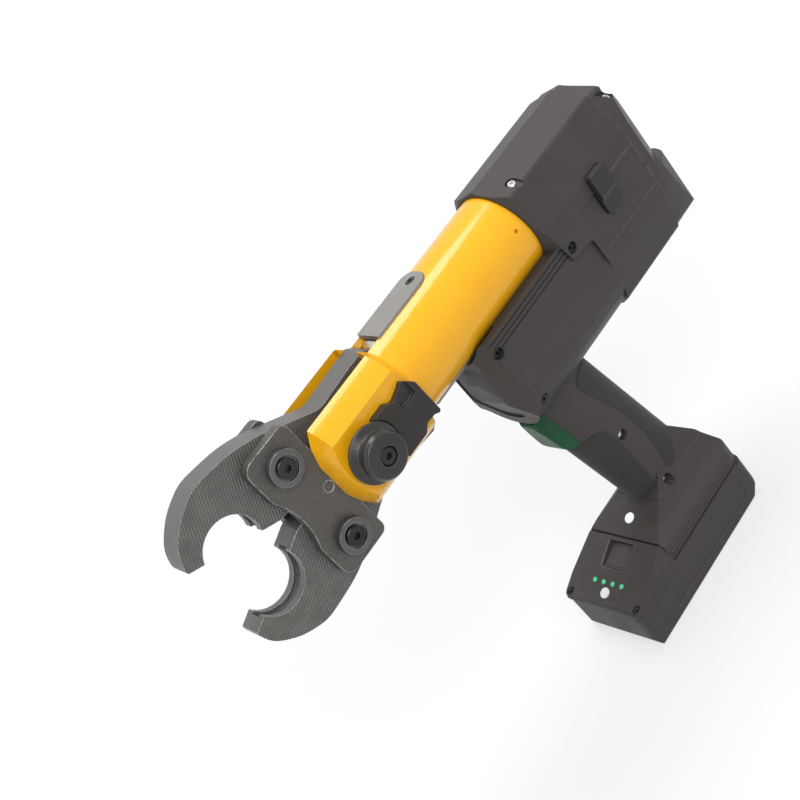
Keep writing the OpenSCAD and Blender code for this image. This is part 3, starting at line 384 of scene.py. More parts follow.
def finish(name, colour, second, rough, metal=0.0, grain=1600.0, depth=0.03, worn_highlight_tone=None, wear_highlight=0.0,
           wear_highlight_scale=260.0, coat=0.0, patch=26.0, sheen=0.0, specular=0.5, flecks_and_glints=(0.16, 1.5), more=None):
    """A Principled material: two tones in patches, lighter flecks along the grain that are painted glints on
    blasted steel, lighter edge strips of rubbed wear and painted highlight, uneven roughness and a grain.
    """
    material = bpy.data.materials.new(name)
    material.use_nodes = True
    tree = material.node_tree
    shader = tree.nodes["Principled BSDF"]
    place = put(tree, "ShaderNodeTexCoord").outputs["Object"]
    patches = use(tree, "smudge", Vector=place, Scale=patch)
    tone = blend_colour(tree, patches, colour, second)
    roughness = spread(tree, patches, 0.0, 1.0, rough[0], rough[1])
    height = use(tree, "grain", Vector=place, Scale=grain)
    # Lighter flecks along the grain: random tone on mouldings, and on blasted steel painted glints
    speckle_and_glint = spread(tree, height, 0.38, 0.62)
    share, lift = flecks_and_glints
    tone = blend_colour(tree, math(tree, "MULTIPLY", speckle_and_glint, share), tone, times(colour, lift))
    if more:
        tone, roughness, height = more(tree, place, tone, roughness, height)
    if worn_highlight_tone:
        # Lighter edge strips: rubbed wear and painted edge highlight
        wear_highlight_mask = use(tree, "wear_highlight", Vector=place, Scale=wear_highlight_scale, Amount=wear_highlight)
        tone = blend_colour(tree, wear_highlight_mask, tone, worn_highlight_tone)
    tree.links.new(tone, shader.inputs["Base Color"])
    tree.links.new(roughness, shader.inputs["Roughness"])
    bump = put(tree, "ShaderNodeBump", {"Strength": 1.0, "Distance": depth * MM, "Height": height})
    tree.links.new(bump.outputs["Normal"], shader.inputs["Normal"])
    fixed = {"Metallic": metal, "Coat Weight": coat, "Coat Roughness": 0.12, "Sheen Weight": sheen,
             "Specular IOR Level": specular}
    for label, value in fixed.items():
        shader.inputs[label].default_value = value
    FINISHES[name] = material
    return material


def wave_scale(pitch):
    """The scale for a pitch: at scale 1 a Wave Texture has 20 waves in 2 pi."""
    return 2 * pi / (20 * pitch)


def cutter_lines_and_rim_reflection(pitch, turn):
    """Cutter lines at an angle on the side faces, and a painted reflection that lightens the faces of the
    outer rim, as extra detail for a steel finish.
    """
    def more(tree, place, tone, roughness, height):
        turned = made(tree, "ShaderNodeMapping", {"Vector": place, "Rotation": (0.0, turn, 0.0)})
        lines = use(tree, "cuts", Vector=turned, Scale=wave_scale(pitch))
        facing = put(tree, "ShaderNodeSeparateXYZ", {0: put(tree, "ShaderNodeNewGeometry").outputs["Normal"]})
        flat = spread(tree, math(tree, "ABSOLUTE", facing.outputs["Y"]), 0.9, 0.98)
        share = math(tree, "MULTIPLY", lines, flat)
        tone = blend_colour(tree, math(tree, "MULTIPLY", share, 0.5), tone, (0.27, 0.27, 0.26))
        # Painted reflection: faces that do not look sideways get a lighter tone and less roughness
        rim_reflection = math(tree, "MULTIPLY", math(tree, "SUBTRACT", 1.0, flat), 0.5)
        tone = blend_colour(tree, rim_reflection, tone, (0.17, 0.17, 0.165))
        roughness = math(tree, "SUBTRACT", roughness, math(tree, "MULTIPLY", rim_reflection, 0.1))
        height = math(tree, "ADD", height, math(tree, "MULTIPLY", share, 1.6))
        return tone, roughness, height
    return more


def turned_rings(centre, half_pitch, pitch, strength=1.0):
    """Turned rings round one centre, or two at plus and minus half_pitch along Z."""
    def more(tree, place, tone, roughness, height):
        moved = vector_math(tree, "SUBTRACT", place, tuple(centre))
        if half_pitch:
            moved = vector_math(tree, "SUBTRACT", vector_math(tree, "ABSOLUTE", moved),
                                (0.0, 0.0, half_pitch))
            split = put(tree, "ShaderNodeSeparateXYZ", {0: moved})
            moved = made(tree, "ShaderNodeCombineXYZ", {0: split.outputs[0], 2: split.outputs[2]})
        rings = use(tree, "rings", Vector=moved, Scale=wave_scale(pitch))
        share = math(tree, "MULTIPLY", rings, 0.3 * strength)
        tone = blend_colour(tree, share, tone, grey(0.16))
        height = math(tree, "ADD", height, math(tree, "MULTIPLY", rings, 0.8 * strength))
        return tone, roughness, height
    return more


def lit(name, colour, glow, strength, rough):
    """A clear moulded light: patchy colour with a soft glow of its own."""
    material = finish(name, colour, [min(1.0, c * 1.3) for c in colour], rough, grain=900.0, depth=0.01)
    tree = material.node_tree
    shader = tree.nodes["Principled BSDF"]
    place = put(tree, "ShaderNodeTexCoord").outputs["Object"]
    patches = use(tree, "smudge", Vector=place, Scale=400.0)
    tree.links.new(blend_colour(tree, patches, glow, times(glow, 0.7)), shader.inputs["Emission Color"])
    shader.inputs["Emission Strength"].default_value = strength


def stacked(node):
    """The point between a node's two like discs, one above the other, and half their distance."""
    low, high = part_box(node)
    return Vector(((low.x + high.x) / 2, 0.0, PIN.z)), (high.z - low.z - (high.x - low.x)) / 2


# Small parts: two tones, roughness, metal, grain, depth, and for some a lighter edge tone and its amount,
# part wear and part painted highlight
SMALL_FINISHES = {
    "Pin steel": ((0.52, 0.52, 0.51), (0.62, 0.62, 0.61), (0.16, 0.28), 1.0, 900.0, 0.006, grey(0.7), 0.4),
    "Drive steel": ((0.40, 0.40, 0.41), (0.50, 0.50, 0.51), (0.22, 0.34), 1.0, 1000.0, 0.01,
                    grey(0.66), 0.4),
    "Cast alloy": ((0.44, 0.45, 0.46), (0.54, 0.55, 0.56), (0.42, 0.58), 0.9, 1100.0, 0.09,
                   grey(0.66), 0.3),
    "Copper winding": ((0.52, 0.24, 0.10), (0.66, 0.34, 0.16), (0.3, 0.42), 0.9, 700.0, 0.05),
    "Bearing bronze": ((0.44, 0.32, 0.14), (0.54, 0.42, 0.20), (0.32, 0.44), 1.0, 900.0, 0.02),
    "Seal rubber": (grey(0.018), grey(0.03), (0.5, 0.65), 0.0, 900.0, 0.02),
    "Circuit board": ((0.022, 0.11, 0.045), (0.03, 0.15, 0.06), (0.34, 0.46), 0.0, 600.0, 0.01),
    "Cell sleeve": ((0.09, 0.20, 0.34), (0.13, 0.26, 0.42), (0.28, 0.38), 0.0, 500.0, 0.006),
    "Inner plastic": ((0.045, 0.045, 0.05), (0.06, 0.06, 0.066), (0.42, 0.55), 0.0, 1300.0, 0.03),
    "Black screw": (grey(0.02), grey(0.04), (0.26, 0.4), 0.6, 1500.0, 0.02, grey(0.2), 0.8),
    "Bright screw": ((0.50, 0.50, 0.49), (0.62, 0.62, 0.61), (0.2, 0.32), 1.0, 1300.0, 0.01,
                     grey(0.8), 0.5),
    "Gauge button": ((0.72, 0.73, 0.71), (0.82, 0.83, 0.81), (0.34, 0.46), 0.0, 900.0, 0.01,
                     grey(0.9), 0.5),
}


def moulded(name, tone, first, second, rough, worn_highlight_tone, wear_highlight, **options):
    """A moulding, with its two tones and its lighter edge tone, part wear and part painted highlight, given
    as factors of one colour.
    """
    finish(name, times(tone, first), times(tone, second), rough, worn_highlight_tone=times(tone, worn_highlight_tone), wear_highlight=wear_highlight,
           **options)


def make_finishes(scene):
    """Every material of the tool."""
    housing, head, jaws, battery = (
        scene.press_housing, scene.press_head, scene.press_jaws, scene.press_battery)
    shell = housing.colour
    matte = {"grain": 1200.0, "depth": 0.06, "specular": 0.25, "flecks_and_glints": (0.35, 1.6)}
    # The third factor lightens the edge strips: rubbed wear and painted edge highlight
    moulded("Moulded housing", shell, 1.0, 1.18, (0.42, 0.56), 3.0, 0.8, **matte)
    moulded("Cap moulding", shell, 1.05, 1.25, (0.40, 0.54), 3.0, 0.8, **matte)
    moulded("Battery moulding", battery.colour, 1.0, 1.2, (0.42, 0.56), 3.0, 0.8, **matte)
    moulded("Latch moulding", battery.colour, 1.2, 1.45, (0.40, 0.52), 2.4, 0.5, **matte)
    moulded("Button moulding", shell, 0.7, 0.9, (0.36, 0.5), 2.2, 0.6,
            grain=1500.0, depth=0.02, specular=0.25)
    moulded("Soft grip", housing.grip_colour, 1.0, 1.25, (0.62, 0.78), 1.8, 0.4,
            grain=1000.0, depth=0.08, sheen=0.15, specular=0.2)
    moulded("Trigger green", housing.trigger_colour, 1.0, 1.3, (0.35, 0.48), 2.2, 0.5,
            grain=1300.0, depth=0.02, specular=0.2)
    paint = head.paint
    finish("Yellow paint", paint, [paint[0], paint[1] * 1.06, paint[2] * 1.3], (0.24, 0.34), coat=0.6,
           grain=420.0, depth=0.012, patch=14.0, worn_highlight_tone=(1.0, 0.62, 0.10), wear_highlight=0.55, specular=0.1)
    finish("Guard steel", head.guard, times(head.guard, 1.2), (0.38, 0.5), metal=0.35, grain=1900.0,
           depth=0.03, worn_highlight_tone=(0.42, 0.41, 0.40), wear_highlight=0.7)
    finish("Black latch", (0.022, 0.020, 0.019), (0.034, 0.031, 0.029), (0.32, 0.46), grain=1400.0,
           depth=0.03, worn_highlight_tone=(0.10, 0.095, 0.09), wear_highlight=0.7, specular=0.3)
    finish("Black knob", (0.018, 0.017, 0.016), (0.028, 0.026, 0.025), (0.22, 0.34), grain=1300.0,
           depth=0.015, worn_highlight_tone=(0.14, 0.135, 0.13), wear_highlight=0.8, specular=0.4,
           more=turned_rings(PIN, 0.0, 0.0009, 0.25))
    steel = jaws.steel
    # Blasted steel: its strong light flecks are painted glints, and its light edge strips painted highlight
    # as well as wear
    blast = {"metal": 0.4, "depth": 0.12, "specular": 0.35, "flecks_and_glints": (0.55, 2.4), "wear_highlight_scale": 420.0}
    finish("Jaw steel", steel, times(steel, 1.3), (0.40, 0.54), grain=1300.0,
           worn_highlight_tone=(0.50, 0.50, 0.48), wear_highlight=1.3, **blast)
    finish("Lever steel", steel, times(steel, 1.35), (0.38, 0.52), grain=1200.0,
           worn_highlight_tone=(0.52, 0.52, 0.50), wear_highlight=1.4, more=cutter_lines_and_rim_reflection(jaws.line_pitch, radians(27)), **blast)
    bolt, half = stacked("jaw_bolts")
    finish("Turned bolt", grey(0.085), grey(0.12), (0.3, 0.42), metal=0.7,
           grain=1500.0, depth=0.03, worn_highlight_tone=(0.35, 0.35, 0.34), wear_highlight=0.8,
           more=turned_rings(bolt, half, 0.0008))
    for name, values in SMALL_FINISHES.items():
        finish(name, *values)
    lit("Charge light", battery.light, battery.light, 0.35, (0.2, 0.3))
    lit("Work light", (0.70, 0.73, 0.76), (1.0, 0.98, 0.94), 0.35, (0.12, 0.2))


# Pieces


def linked(name, mesh):
    """A new object for a mesh, in the scene."""
    piece = bpy.data.objects.new(name, mesh)
    bpy.context.scene.collection.objects.link(piece)
    return piece


def bake(piece):
    """Applies every live modifier by replacing the mesh with the evaluated one."""
    graph = bpy.context.evaluated_depsgraph_get()
    graph.update()
    mesh = bpy.data.meshes.new_from_object(piece.evaluated_get(graph), depsgraph=graph)
    old = piece.data
    piece.modifiers.clear()
    piece.data = mesh
    mesh.name = piece.name
    bpy.data.meshes.remove(old)


def smooth(piece):
    """Smooth faces with sharp edges above SMOOTH_ANGLE, and normals weighted by face area."""
    piece.data.shade_smooth()
    piece.data.set_sharp_from_angle(angle=radians(SMOOTH_ANGLE))
    weigh = piece.modifiers.new("Weigh normals", "WEIGHTED_NORMAL")
    weigh.keep_sharp = True
    weigh.weight = 60
    bake(piece)


def merged_copy(node, name):
    """A copy of a CAD node's mesh with its doubles merged and its flat faces joined."""
    mesh = NODES[node].data.copy()
    for label in [a.name for a in mesh.attributes if a.name in ("custom_normal", "sharp_edge")]:
        mesh.attributes.remove(mesh.attributes[label])
    mesh.materials.clear()
    shape = bmesh.new()
    shape.from_mesh(mesh)
    bmesh.ops.remove_doubles(shape, verts=shape.verts, dist=2e-6)
    bmesh.ops.dissolve_limit(shape, angle_limit=radians(0.7), verts=shape.verts, edges=shape.edges,
                             delimit={"NORMAL"})
    shape.to_mesh(mesh)
    shape.free()
    return linked(name, mesh)


def room_at(edge):
    """Width free for a bevel beside an edge, from its faces and from the edges that meet it."""
    room = min(face.calc_area() / edge.calc_length() for face in edge.link_faces)
    for corner in edge.verts:
        along = edge.other_vert(corner).co - corner.co
        for other in corner.link_edges:
            if other is edge or not set(other.link_faces) & set(edge.link_faces):
                continue
            aside = other.other_vert(corner).co - corner.co
            lean = along.angle(aside, pi)
            if lean < radians(150):
                room = min(room, aside.length * sin(lean))
    return room


def sharp_chains(shape, angle):
    """Sharp edges in chains that run on through a vertex without a corner."""
    chain = {}
    for edge in shape.edges:
        if len(edge.link_faces) == 2 and edge.calc_length() > 1e-7:
            if abs(edge.calc_face_angle_signed(0.0)) > radians(angle):
                chain[edge] = [edge]
    for vert in shape.verts:
        here = [edge for edge in vert.link_edges if edge in chain]
        for number, first in enumerate(here):
            for second in here[number + 1:]:
                one = first.other_vert(vert).co - vert.co
                other = second.other_vert(vert).co - vert.co
                if one.angle(other, 0.0) < radians(125) or chain[first] is chain[second]:
                    continue
                longer, shorter = sorted((chain[first], chain[second]), key=len, reverse=True)
                longer.extend(shorter)
                for edge in shorter:
                    chain[edge] = longer
    return list({id(edges): edges for edges in chain.values()}.values())


def chain_weight(edges, width, share):
    """One weight for a whole chain, so that its strip keeps one width."""
    wanted = 1.0
    if share:
        for edge in edges:
            middle = (edge.verts[0].co + edge.verts[1].co) / 2
            wanted = min(wanted, share(middle, edge.calc_face_angle_signed(0.0) > 0))
    weight = min(wanted, ROOM_SHARE * min(room_at(edge) for edge in edges) / width)
    return weight if weight > LEAST_WEIGHT else 0.0


def faults(mesh, around, width):
    """Points where rounding went wrong: crossed faces, and corners thrown off the old surface."""
    mesh.calc_loop_triangles()
    covered = [0.0] * len(mesh.polygons)
    for triangle in mesh.loop_triangles:
        covered[triangle.polygon_index] += triangle.area
    spots = []
    for face in mesh.polygons:
        corners = [mesh.vertices[i].co for i in face.vertices]
        whole = Vector()
        for first, second in zip(corners, corners[1:] + corners[:1]):
            whole += (first - corners[0]).cross(second - corners[0])
        if covered[face.index] - whole.length / 2 > 1e-9 + 0.02 * covered[face.index]:
            centre = [face.center.copy()]
            few = len(corners) <= FEW_CORNERS
            spots.extend(corners + centre if few else centre + crossings(corners, face.normal))
    for vert in mesh.vertices:
        near = around.find_nearest(vert.co)
        if near[3] is None or near[3] > 0.8 * width:
            spots.append(vert.co.copy())
    return spots


def crossings(corners, normal):
    """Corners of a flat outline whose sides cross one another."""
    across = normal.orthogonal().normalized()
    up = normal.cross(across)
    flat = [Vector((c.dot(across), c.dot(up))) for c in corners]
    count = len(flat)
    found = []
    for i in range(count):
        for j in range(i + 2, count if i else count - 1):
            if intersect_line_line_2d(flat[i], flat[i + 1], flat[j], flat[(j + 1) % count]):
                found.extend((corners[i], corners[j]))
    return found


def near_chain(edges, spots, reach):
    """Whether any point lies within reach of a chain."""
    for edge in edges:
        start, end = edge.verts[0].co, edge.verts[1].co
        for spot in spots:
            place, along = intersect_point_line(spot, start, end)
            place = start if along < 0 else end if along > 1 else place
            if (place - spot).length < reach:
                return True
    return False


def soften(piece, width, segments=2, angle=28.0, share=None):
    """Rounds the sharp edges chain by chain, holding back every chain that would spoil a face."""
    shape = bmesh.new()
    shape.from_mesh(piece.data)
    around = BVHTree.FromBMesh(shape)
    layer = shape.edges.layers.float.new("bevel_weight_edge")
    chains = sharp_chains(shape, angle)
    weights = [chain_weight(edges, width, share) for edges in chains]
    bevel = piece.modifiers.new("Round edges", "BEVEL")
    bevel.width = width
    bevel.segments = segments
    bevel.limit_method = "WEIGHT"
    bevel.use_clamp_overlap = False
    bevel.material = 1
    spare = bpy.data.materials.get("Edge strip") or bpy.data.materials.new("Edge strip")
    piece.data.materials.append(spare)
    piece.data.materials.append(spare)
    for attempt in range(TRIES):
        for edges, weight in zip(chains, weights):
            for edge in edges:
                edge[layer] = weight
        shape.to_mesh(piece.data)
        graph = bpy.context.evaluated_depsgraph_get()
        graph.update()
        trial = piece.evaluated_get(graph).to_mesh()
        spots = faults(trial, around, width)
        piece.evaluated_get(graph).to_mesh_clear()
        if not spots or not any(weights):
            break
        reach = width * (1.2 + 0.6 * attempt)
        for number, edges in enumerate(chains):
            if weights[number] and near_chain(edges, spots[:MOST_SPOTS], reach):
                weights[number] *= HOLD_BACK if attempt < GENTLE_TRIES else 0.0
    shape.free()
    bake(piece)
    mesh = piece.data
    strips = [float(face.material_index == 1) for face in mesh.polygons]
    mesh.attributes.new("edge", "FLOAT", "FACE").data.foreach_set("value", strips)
    mesh.polygons.foreach_set("material_index", [0] * len(mesh.polygons))
    mesh.materials.clear()
    smooth(piece)


def outer_rim(shape, centre):
    """The faces of a jaw lever's outer edge: they look away from the centre of its mouth."""
    rim = []
    for face in shape.faces:
        middle = face.calc_center_median()
        way = middle - centre
        way.y = 0.0
        if abs(face.normal.y) >= 0.02 or len(face.verts) != 4 or way.length <= RIM_REACH:
            continue
        if face.normal.dot(way.normalized()) > 0.3 and middle.x > PIN.x + RIM_START:
            rim.append(face)
    return rim


def rim_lines(rim):
    """The edges along both sides of a rim."""
    return {edge for face in rim for edge in face.edges
            if abs(edge.verts[0].co.y - edge.verts[1].co.y) < 1e-5}


def ease_rim(piece, centre, spacing=0.0015, passes=26):
    """Lays the outer edge of a jaw lever, straight runs between bends, on one smooth curve."""
    shape = bmesh.new()
    shape.from_mesh(piece.data)
    groups = {}
    for edge in rim_lines(outer_rim(shape, centre)):
        groups.setdefault(round(edge.calc_length() / spacing), []).append(edge)
    for cuts, edges in sorted(groups.items()):
        if cuts > 1:
            bmesh.ops.subdivide_edges(shape, edges=edges, cuts=cuts - 1)
    beside = {}
    for edge in rim_lines(outer_rim(shape, centre)):
        for vert in edge.verts:
            beside.setdefault(vert, []).append(edge.other_vert(vert))
    free = {vert: pair for vert, pair in beside.items() if len(pair) == 2}
    for _ in range(passes):
        moved = {vert: (pair[0].co + pair[1].co + vert.co * 2) / 4 for vert, pair in free.items()}
        for vert, place in moved.items():
            vert.co = place
    shape.to_mesh(piece.data)
    shape.free()


def dress(node, name, material, slot, width, before=None, **options):
    """Replaces a CAD node by its softened copy in the given finish."""
    piece = merged_copy(node, name)
    if before:
        before(piece)
    soften(piece, width, **options)
    return settle(piece, material, [node])


def settle(piece, material, nodes, body=None):
    """Gives a finished piece its material and body, and hides the nodes it stands for."""
    coat_mesh(piece.data, material)
    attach(piece, body or NODES[nodes[0]]["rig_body"])
    if nodes:
        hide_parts(*nodes)
    return piece


def coat_mesh(mesh, material):
    """Puts one finish on a whole mesh."""
    mesh.materials.clear()
    mesh.materials.append(FINISHES[material])


# Screws and lights by Geometry Nodes


def geometry_tree(name, inputs):
    """A Geometry Nodes tree that takes and gives a geometry, with named sizes."""
    shape = "NodeSocketGeometry"
    return new_tree(name, "GeometryNodeTree", {"Geometry": (shape, None), **inputs}, {"Geometry": shape})


def down(tree, depth):
    """The vector that points down along Z by a depth."""
    return made(tree, "ShaderNodeCombineXYZ", {2: math(tree, "MULTIPLY", depth, -1.0)})


def lowered(tree, geometry, depth):
    """Geometry moved down along Z."""
    values = {"Geometry": geometry, "Translation": down(tree, depth)}
    return made(tree, "GeometryNodeTransform", values)


def collar(tree, top, bottom, depth):
    """An open cone or tube that stands on the XY plane."""
    values = {"Vertices": SCREW_SIDES, "Radius Top": top, "Radius Bottom": bottom, "Depth": depth}
    return made(tree, "GeometryNodeMeshCone", values, fill_type="NONE")


def outline(tree, radius):
    """A circle's outline."""
    values = {"Resolution": SCREW_SIDES, "Radius": radius}
    return made(tree, "GeometryNodeCurvePrimitiveCircle", values)


def join(tree, *parts):
    """Several geometries as one."""
    node = tree.nodes.new("GeometryNodeJoinGeometry")
    for part in parts:
        tree.links.new(part, node.inputs[0])
    return node.outputs[0]


def screw_tree():
    """Screw heads with a lobed recess, one at each point, turned to its facing attribute."""
    tree, given, result = geometry_tree("Driven screws", {
        "Head Radius": (NUMBER, 0.0037), "Head Height": (NUMBER, 0.002), "Chamfer": (NUMBER, 0.0004),
        "Drive Radius": (NUMBER, 0.0018), "Drive Waist": (NUMBER, 0.0012), "Lobes": ("NodeSocketInt", 6),
        "Drive Depth": (NUMBER, 0.0014), "Material": ("NodeSocketMaterial", None)})
    top_radius = math(tree, "SUBTRACT", given["Head Radius"], given["Chamfer"])
    rim = outline(tree, top_radius)
    star = made(tree, "GeometryNodeCurveStar",
                {"Points": given["Lobes"], "Inner Radius": given["Drive Waist"],
                 "Outer Radius": given["Drive Radius"]})
    fillet = math(tree, "MULTIPLY", given["Drive Radius"], 0.22)
    star = made(tree, "GeometryNodeFilletCurve", {"Curve": star, "Radius": fillet, "Count": 3}, mode="POLY")
    face = made(tree, "GeometryNodeFillCurve", {"Curve": join(tree, rim, star)})
    floor = made(tree, "GeometryNodeFillCurve", {"Curve": star})
    floor = lowered(tree, floor, given["Drive Depth"])
    loop = made(tree, "GeometryNodeCurveToMesh", {"Curve": star})
    wall = made(tree, "GeometryNodeExtrudeMesh",
                {"Mesh": loop, "Offset": down(tree, given["Drive Depth"])}, mode="EDGES")
    bevel = collar(tree, top_radius, given["Head Radius"], given["Chamfer"])
    bevel = lowered(tree, bevel, given["Chamfer"])
    body_height = math(tree, "SUBTRACT", given["Head Height"], given["Chamfer"])
    side = collar(tree, given["Head Radius"], given["Head Radius"], body_height)
    side = lowered(tree, side, given["Head Height"])
    under = made(tree, "GeometryNodeFillCurve", {"Curve": outline(tree, given["Head Radius"])})
    under = lowered(tree, under, given["Head Height"])
    whole = join(tree, face, floor, wall, bevel, side, under)
    whole = made(tree, "GeometryNodeMergeByDistance", {"Geometry": whole, "Distance": SEAM})
    place_instances(tree, given, result, whole)
    return tree


def place_instances(tree, given, result, shape):
    """Puts the shape on every point, turned to the facing attribute, and realises it."""
    facing = put(tree, "GeometryNodeInputNamedAttribute", {"Name": "facing"},
                 data_type="FLOAT_VECTOR").outputs["Attribute"]
    turn = made(tree, "FunctionNodeAlignRotationToVector", {"Vector": facing}, axis="Z")
    placed = made(tree, "GeometryNodeInstanceOnPoints",
                  {"Points": given["Geometry"], "Instance": shape, "Rotation": turn})
    real = made(tree, "GeometryNodeRealizeInstances", {"Geometry": placed})
    painted = made(tree, "GeometryNodeSetMaterial", {"Geometry": real, "Material": given["Material"]})
    tree.links.new(painted, result["Geometry"])


def light_tree():
    """Low domed lights, one at each point, turned to its facing attribute."""
    tree, given, result = geometry_tree("Light domes", {
        "Radius": (NUMBER, 0.0022), "Rise": (NUMBER, 0.0008),
        "Material": ("NodeSocketMaterial", None)})
    ball = made(tree, "GeometryNodeMeshUVSphere", {"Segments": 28, "Rings": 14, "Radius": 1.0})
    size = made(tree, "ShaderNodeCombineXYZ", {0: given["Radius"], 1: given["Radius"], 2: given["Rise"]})
    dome = made(tree, "GeometryNodeTransform", {"Geometry": ball, "Scale": size})
    place_instances(tree, given, result, dome)
    return tree


def grown(name, tree, spots, sizes, material):
    """Runs a tree on a set of (point, facing) pairs and returns one plain mesh piece."""
    mesh = bpy.data.meshes.new(name)
    mesh.from_pydata([point for point, _ in spots], [], [])
    facing = mesh.attributes.new("facing", "FLOAT_VECTOR", "POINT")
    facing.data.foreach_set("vector", [c for _, way in spots for c in way.normalized()])
    piece = linked(name, mesh)
    modifier = piece.modifiers.new("Grow", "NODES")
    modifier.node_group = tree
    sockets = {s.name: s.identifier for s in tree.interface.items_tree if s.in_out == "INPUT"}
    for label, value in sizes.items():
        modifier[sockets[label]] = value
    modifier[sockets["Material"]] = FINISHES[material]
    bake(piece)
    shape = bmesh.new()
    shape.from_mesh(piece.data)
    bmesh.ops.recalc_face_normals(shape, faces=shape.faces)
    shape.to_mesh(piece.data)
    shape.free()
    if "facing" in piece.data.attributes:
        piece.data.attributes.remove(piece.data.attributes["facing"])
    piece.data.shade_smooth()
    piece.data.set_sharp_from_angle(angle=radians(32))
    return piece


# Operators


class PieceOperator:
    """What every operator of the tool shares."""

    bl_options = {"REGISTER", "UNDO"}


class PRESS_OT_stage(PieceOperator, bpy.types.Operator):
    """Camera, pale floor, world and lamps"""

    bl_idname = "press.stage"
    bl_label = "Stage"

    def execute(self, context):
        scene = context.scene
        values = scene.press_stage
        data = bpy.data.cameras.new("Camera")
        data.lens = values.lens
        data.sensor_width = SENSOR_WIDTH
        data.sensor_fit = "HORIZONTAL"
        data.clip_end = 100.0
        camera = linked("Camera", data)
        turn = Matrix(CAMERA_AXES).transposed().to_4x4()
        camera.matrix_world = Matrix.Translation(PIN + CAMERA_PLACE) @ turn
        scene.camera = camera
        scene.view_settings.view_transform = "Standard"
        self.world(scene, values.world_level)
        self.floor()
        self.lamp("Key lamp", KEY_WAY, KEY_BREADTH, values.key_level)
        self.lamp("Fill lamp", FILL_WAY, FILL_BREADTH, values.fill_level)
        return {"FINISHED"}

    @staticmethod
    def lamp(name, way, breadth, level):
        """An even lamp from one way, at the level that it gives white card."""
        data = bpy.data.lights.new(name, "SUN")
        data.angle = radians(breadth)
        data.energy = pi * level
        lamp = linked(name, data)
        lamp.location = way * 2.0
        lamp.rotation_mode = "QUATERNION"
        lamp.rotation_quaternion = way.to_track_quat("Z", "Y")

    @staticmethod
    def by_ray(tree, lights, shows, output):
        """One shader for light, another for what camera, glossy and transmission rays see."""
        path = put(tree, "ShaderNodeLightPath").outputs
        first = math(tree, "MAXIMUM", path["Is Camera Ray"], path["Is Glossy Ray"])
        seen = math(tree, "MAXIMUM", first, path["Is Transmission Ray"])
        mix = made(tree, "ShaderNodeMixShader", {0: seen, 1: lights, 2: shows})
        put(tree, output, {"Surface": mix})

    def world(self, scene, level):
        """Even light from all round, seen as white."""
        world = bpy.data.worlds.new("Even light")
        scene.world = world
        world.use_nodes = True
        tree = world.node_tree
        tree.nodes.clear()
        plain = made(tree, "ShaderNodeBackground", {"Color": WHITE, "Strength": level})
        white = made(tree, "ShaderNodeBackground", {"Color": WHITE, "Strength": 1.0})
        self.by_ray(tree, plain, white, "ShaderNodeOutputWorld")

    def floor(self):
        """A pale floor that keeps the tool's shadow."""
        mesh = bpy.data.meshes.new("Floor")
        shape = bmesh.new()
        bmesh.ops.create_circle(shape, cap_ends=True, segments=96, radius=FLOOR_RADIUS)
        shape.to_mesh(mesh)
        shape.free()
        floor = linked("Floor", mesh)
        floor.location = (0.0, 0.0, -FLOOR_DROP)
        material = bpy.data.materials.new("Pale floor")
        material.use_nodes = True
        tree = material.node_tree
        tree.nodes.clear()
        plain = made(tree, "ShaderNodeBsdfDiffuse", {"Color": (*grey(FLOOR_LIT), 1.0)})
        tone = made(tree, "ShaderNodeBsdfDiffuse", {"Color": (*grey(FLOOR_SEEN), 1.0)})
        lift = made(tree, "ShaderNodeEmission", {"Color": WHITE, "Strength": FLOOR_GLOW})
        both = made(tree, "ShaderNodeAddShader", {0: tone, 1: lift})
        self.by_ray(tree, plain, both, "ShaderNodeOutputMaterial")
        mesh.materials.append(material)


class PRESS_OT_finishes(PieceOperator, bpy.types.Operator):
    """Shared shader groups and every material"""

    bl_idname = "press.finishes"
    bl_label = "Finishes"

    def execute(self, context):
        make_groups()
        make_finishes(context.scene)
        return {"FINISHED"}


def shell_share(point, outward):
    """Full rounding on outer creases, little in hollows and along the seam between the shells."""
    if abs(point.y) < 0.0004:
        return 0.12
    return 1.0 if outward else 0.45


class PRESS_OT_housing(PieceOperator, bpy.types.Operator):
    """Moulded shells, rear cap and reset button"""

    bl_idname = "press.housing"
    bl_label = "Housing"

    def execute(self, context):
        crease = context.scene.press_housing.crease
        for side in ("left", "right"):
            dress("housing_" + side, "shell_" + side, "Moulded housing", "housing", crease,
                  segments=3, angle=24.0, share=shell_share)
        dress("rear_cap", "end_cap", "Cap moulding", "housing", crease, segments=3, angle=24.0)
        dress("reset_button", "reset_slab", "Button moulding", "housing", RESET_EDGE)
        return {"FINISHED"}


class PRESS_OT_grip(PieceOperator, bpy.types.Operator):
    """Soft inlays, trigger and work light"""

    bl_idname = "press.grip"
    bl_label = "Grip"

    def execute(self, context):
        for end in ("rear", "front"):
            dress("grip_" + end, "inlay_" + end, "Soft grip", "soft_grip", INLAY_EDGE, segments=3)
        dress("trigger", "trigger_blade", "Trigger green", "trigger", TRIGGER_EDGE, segments=3)
        dress("work_light", "work_light_lens", "Work light", "lens", FINE_EDGE)
        return {"FINISHED"}


class PRESS_OT_head(PieceOperator, bpy.types.Operator):
    """Painted tube with its fork, and the guard bars"""

    bl_idname = "press.head"
    bl_label = "Head"

    def execute(self, context):
        dress("head_shell", "head_casting", "Yellow paint", "head_yellow",
              context.scene.press_head.edge, segments=3)
        for end in ("top", "bottom"):
            dress("guard_" + end, "guard_bar_" + end, "Guard steel", "guard_steel", FINE_EDGE)
        return {"FINISHED"}


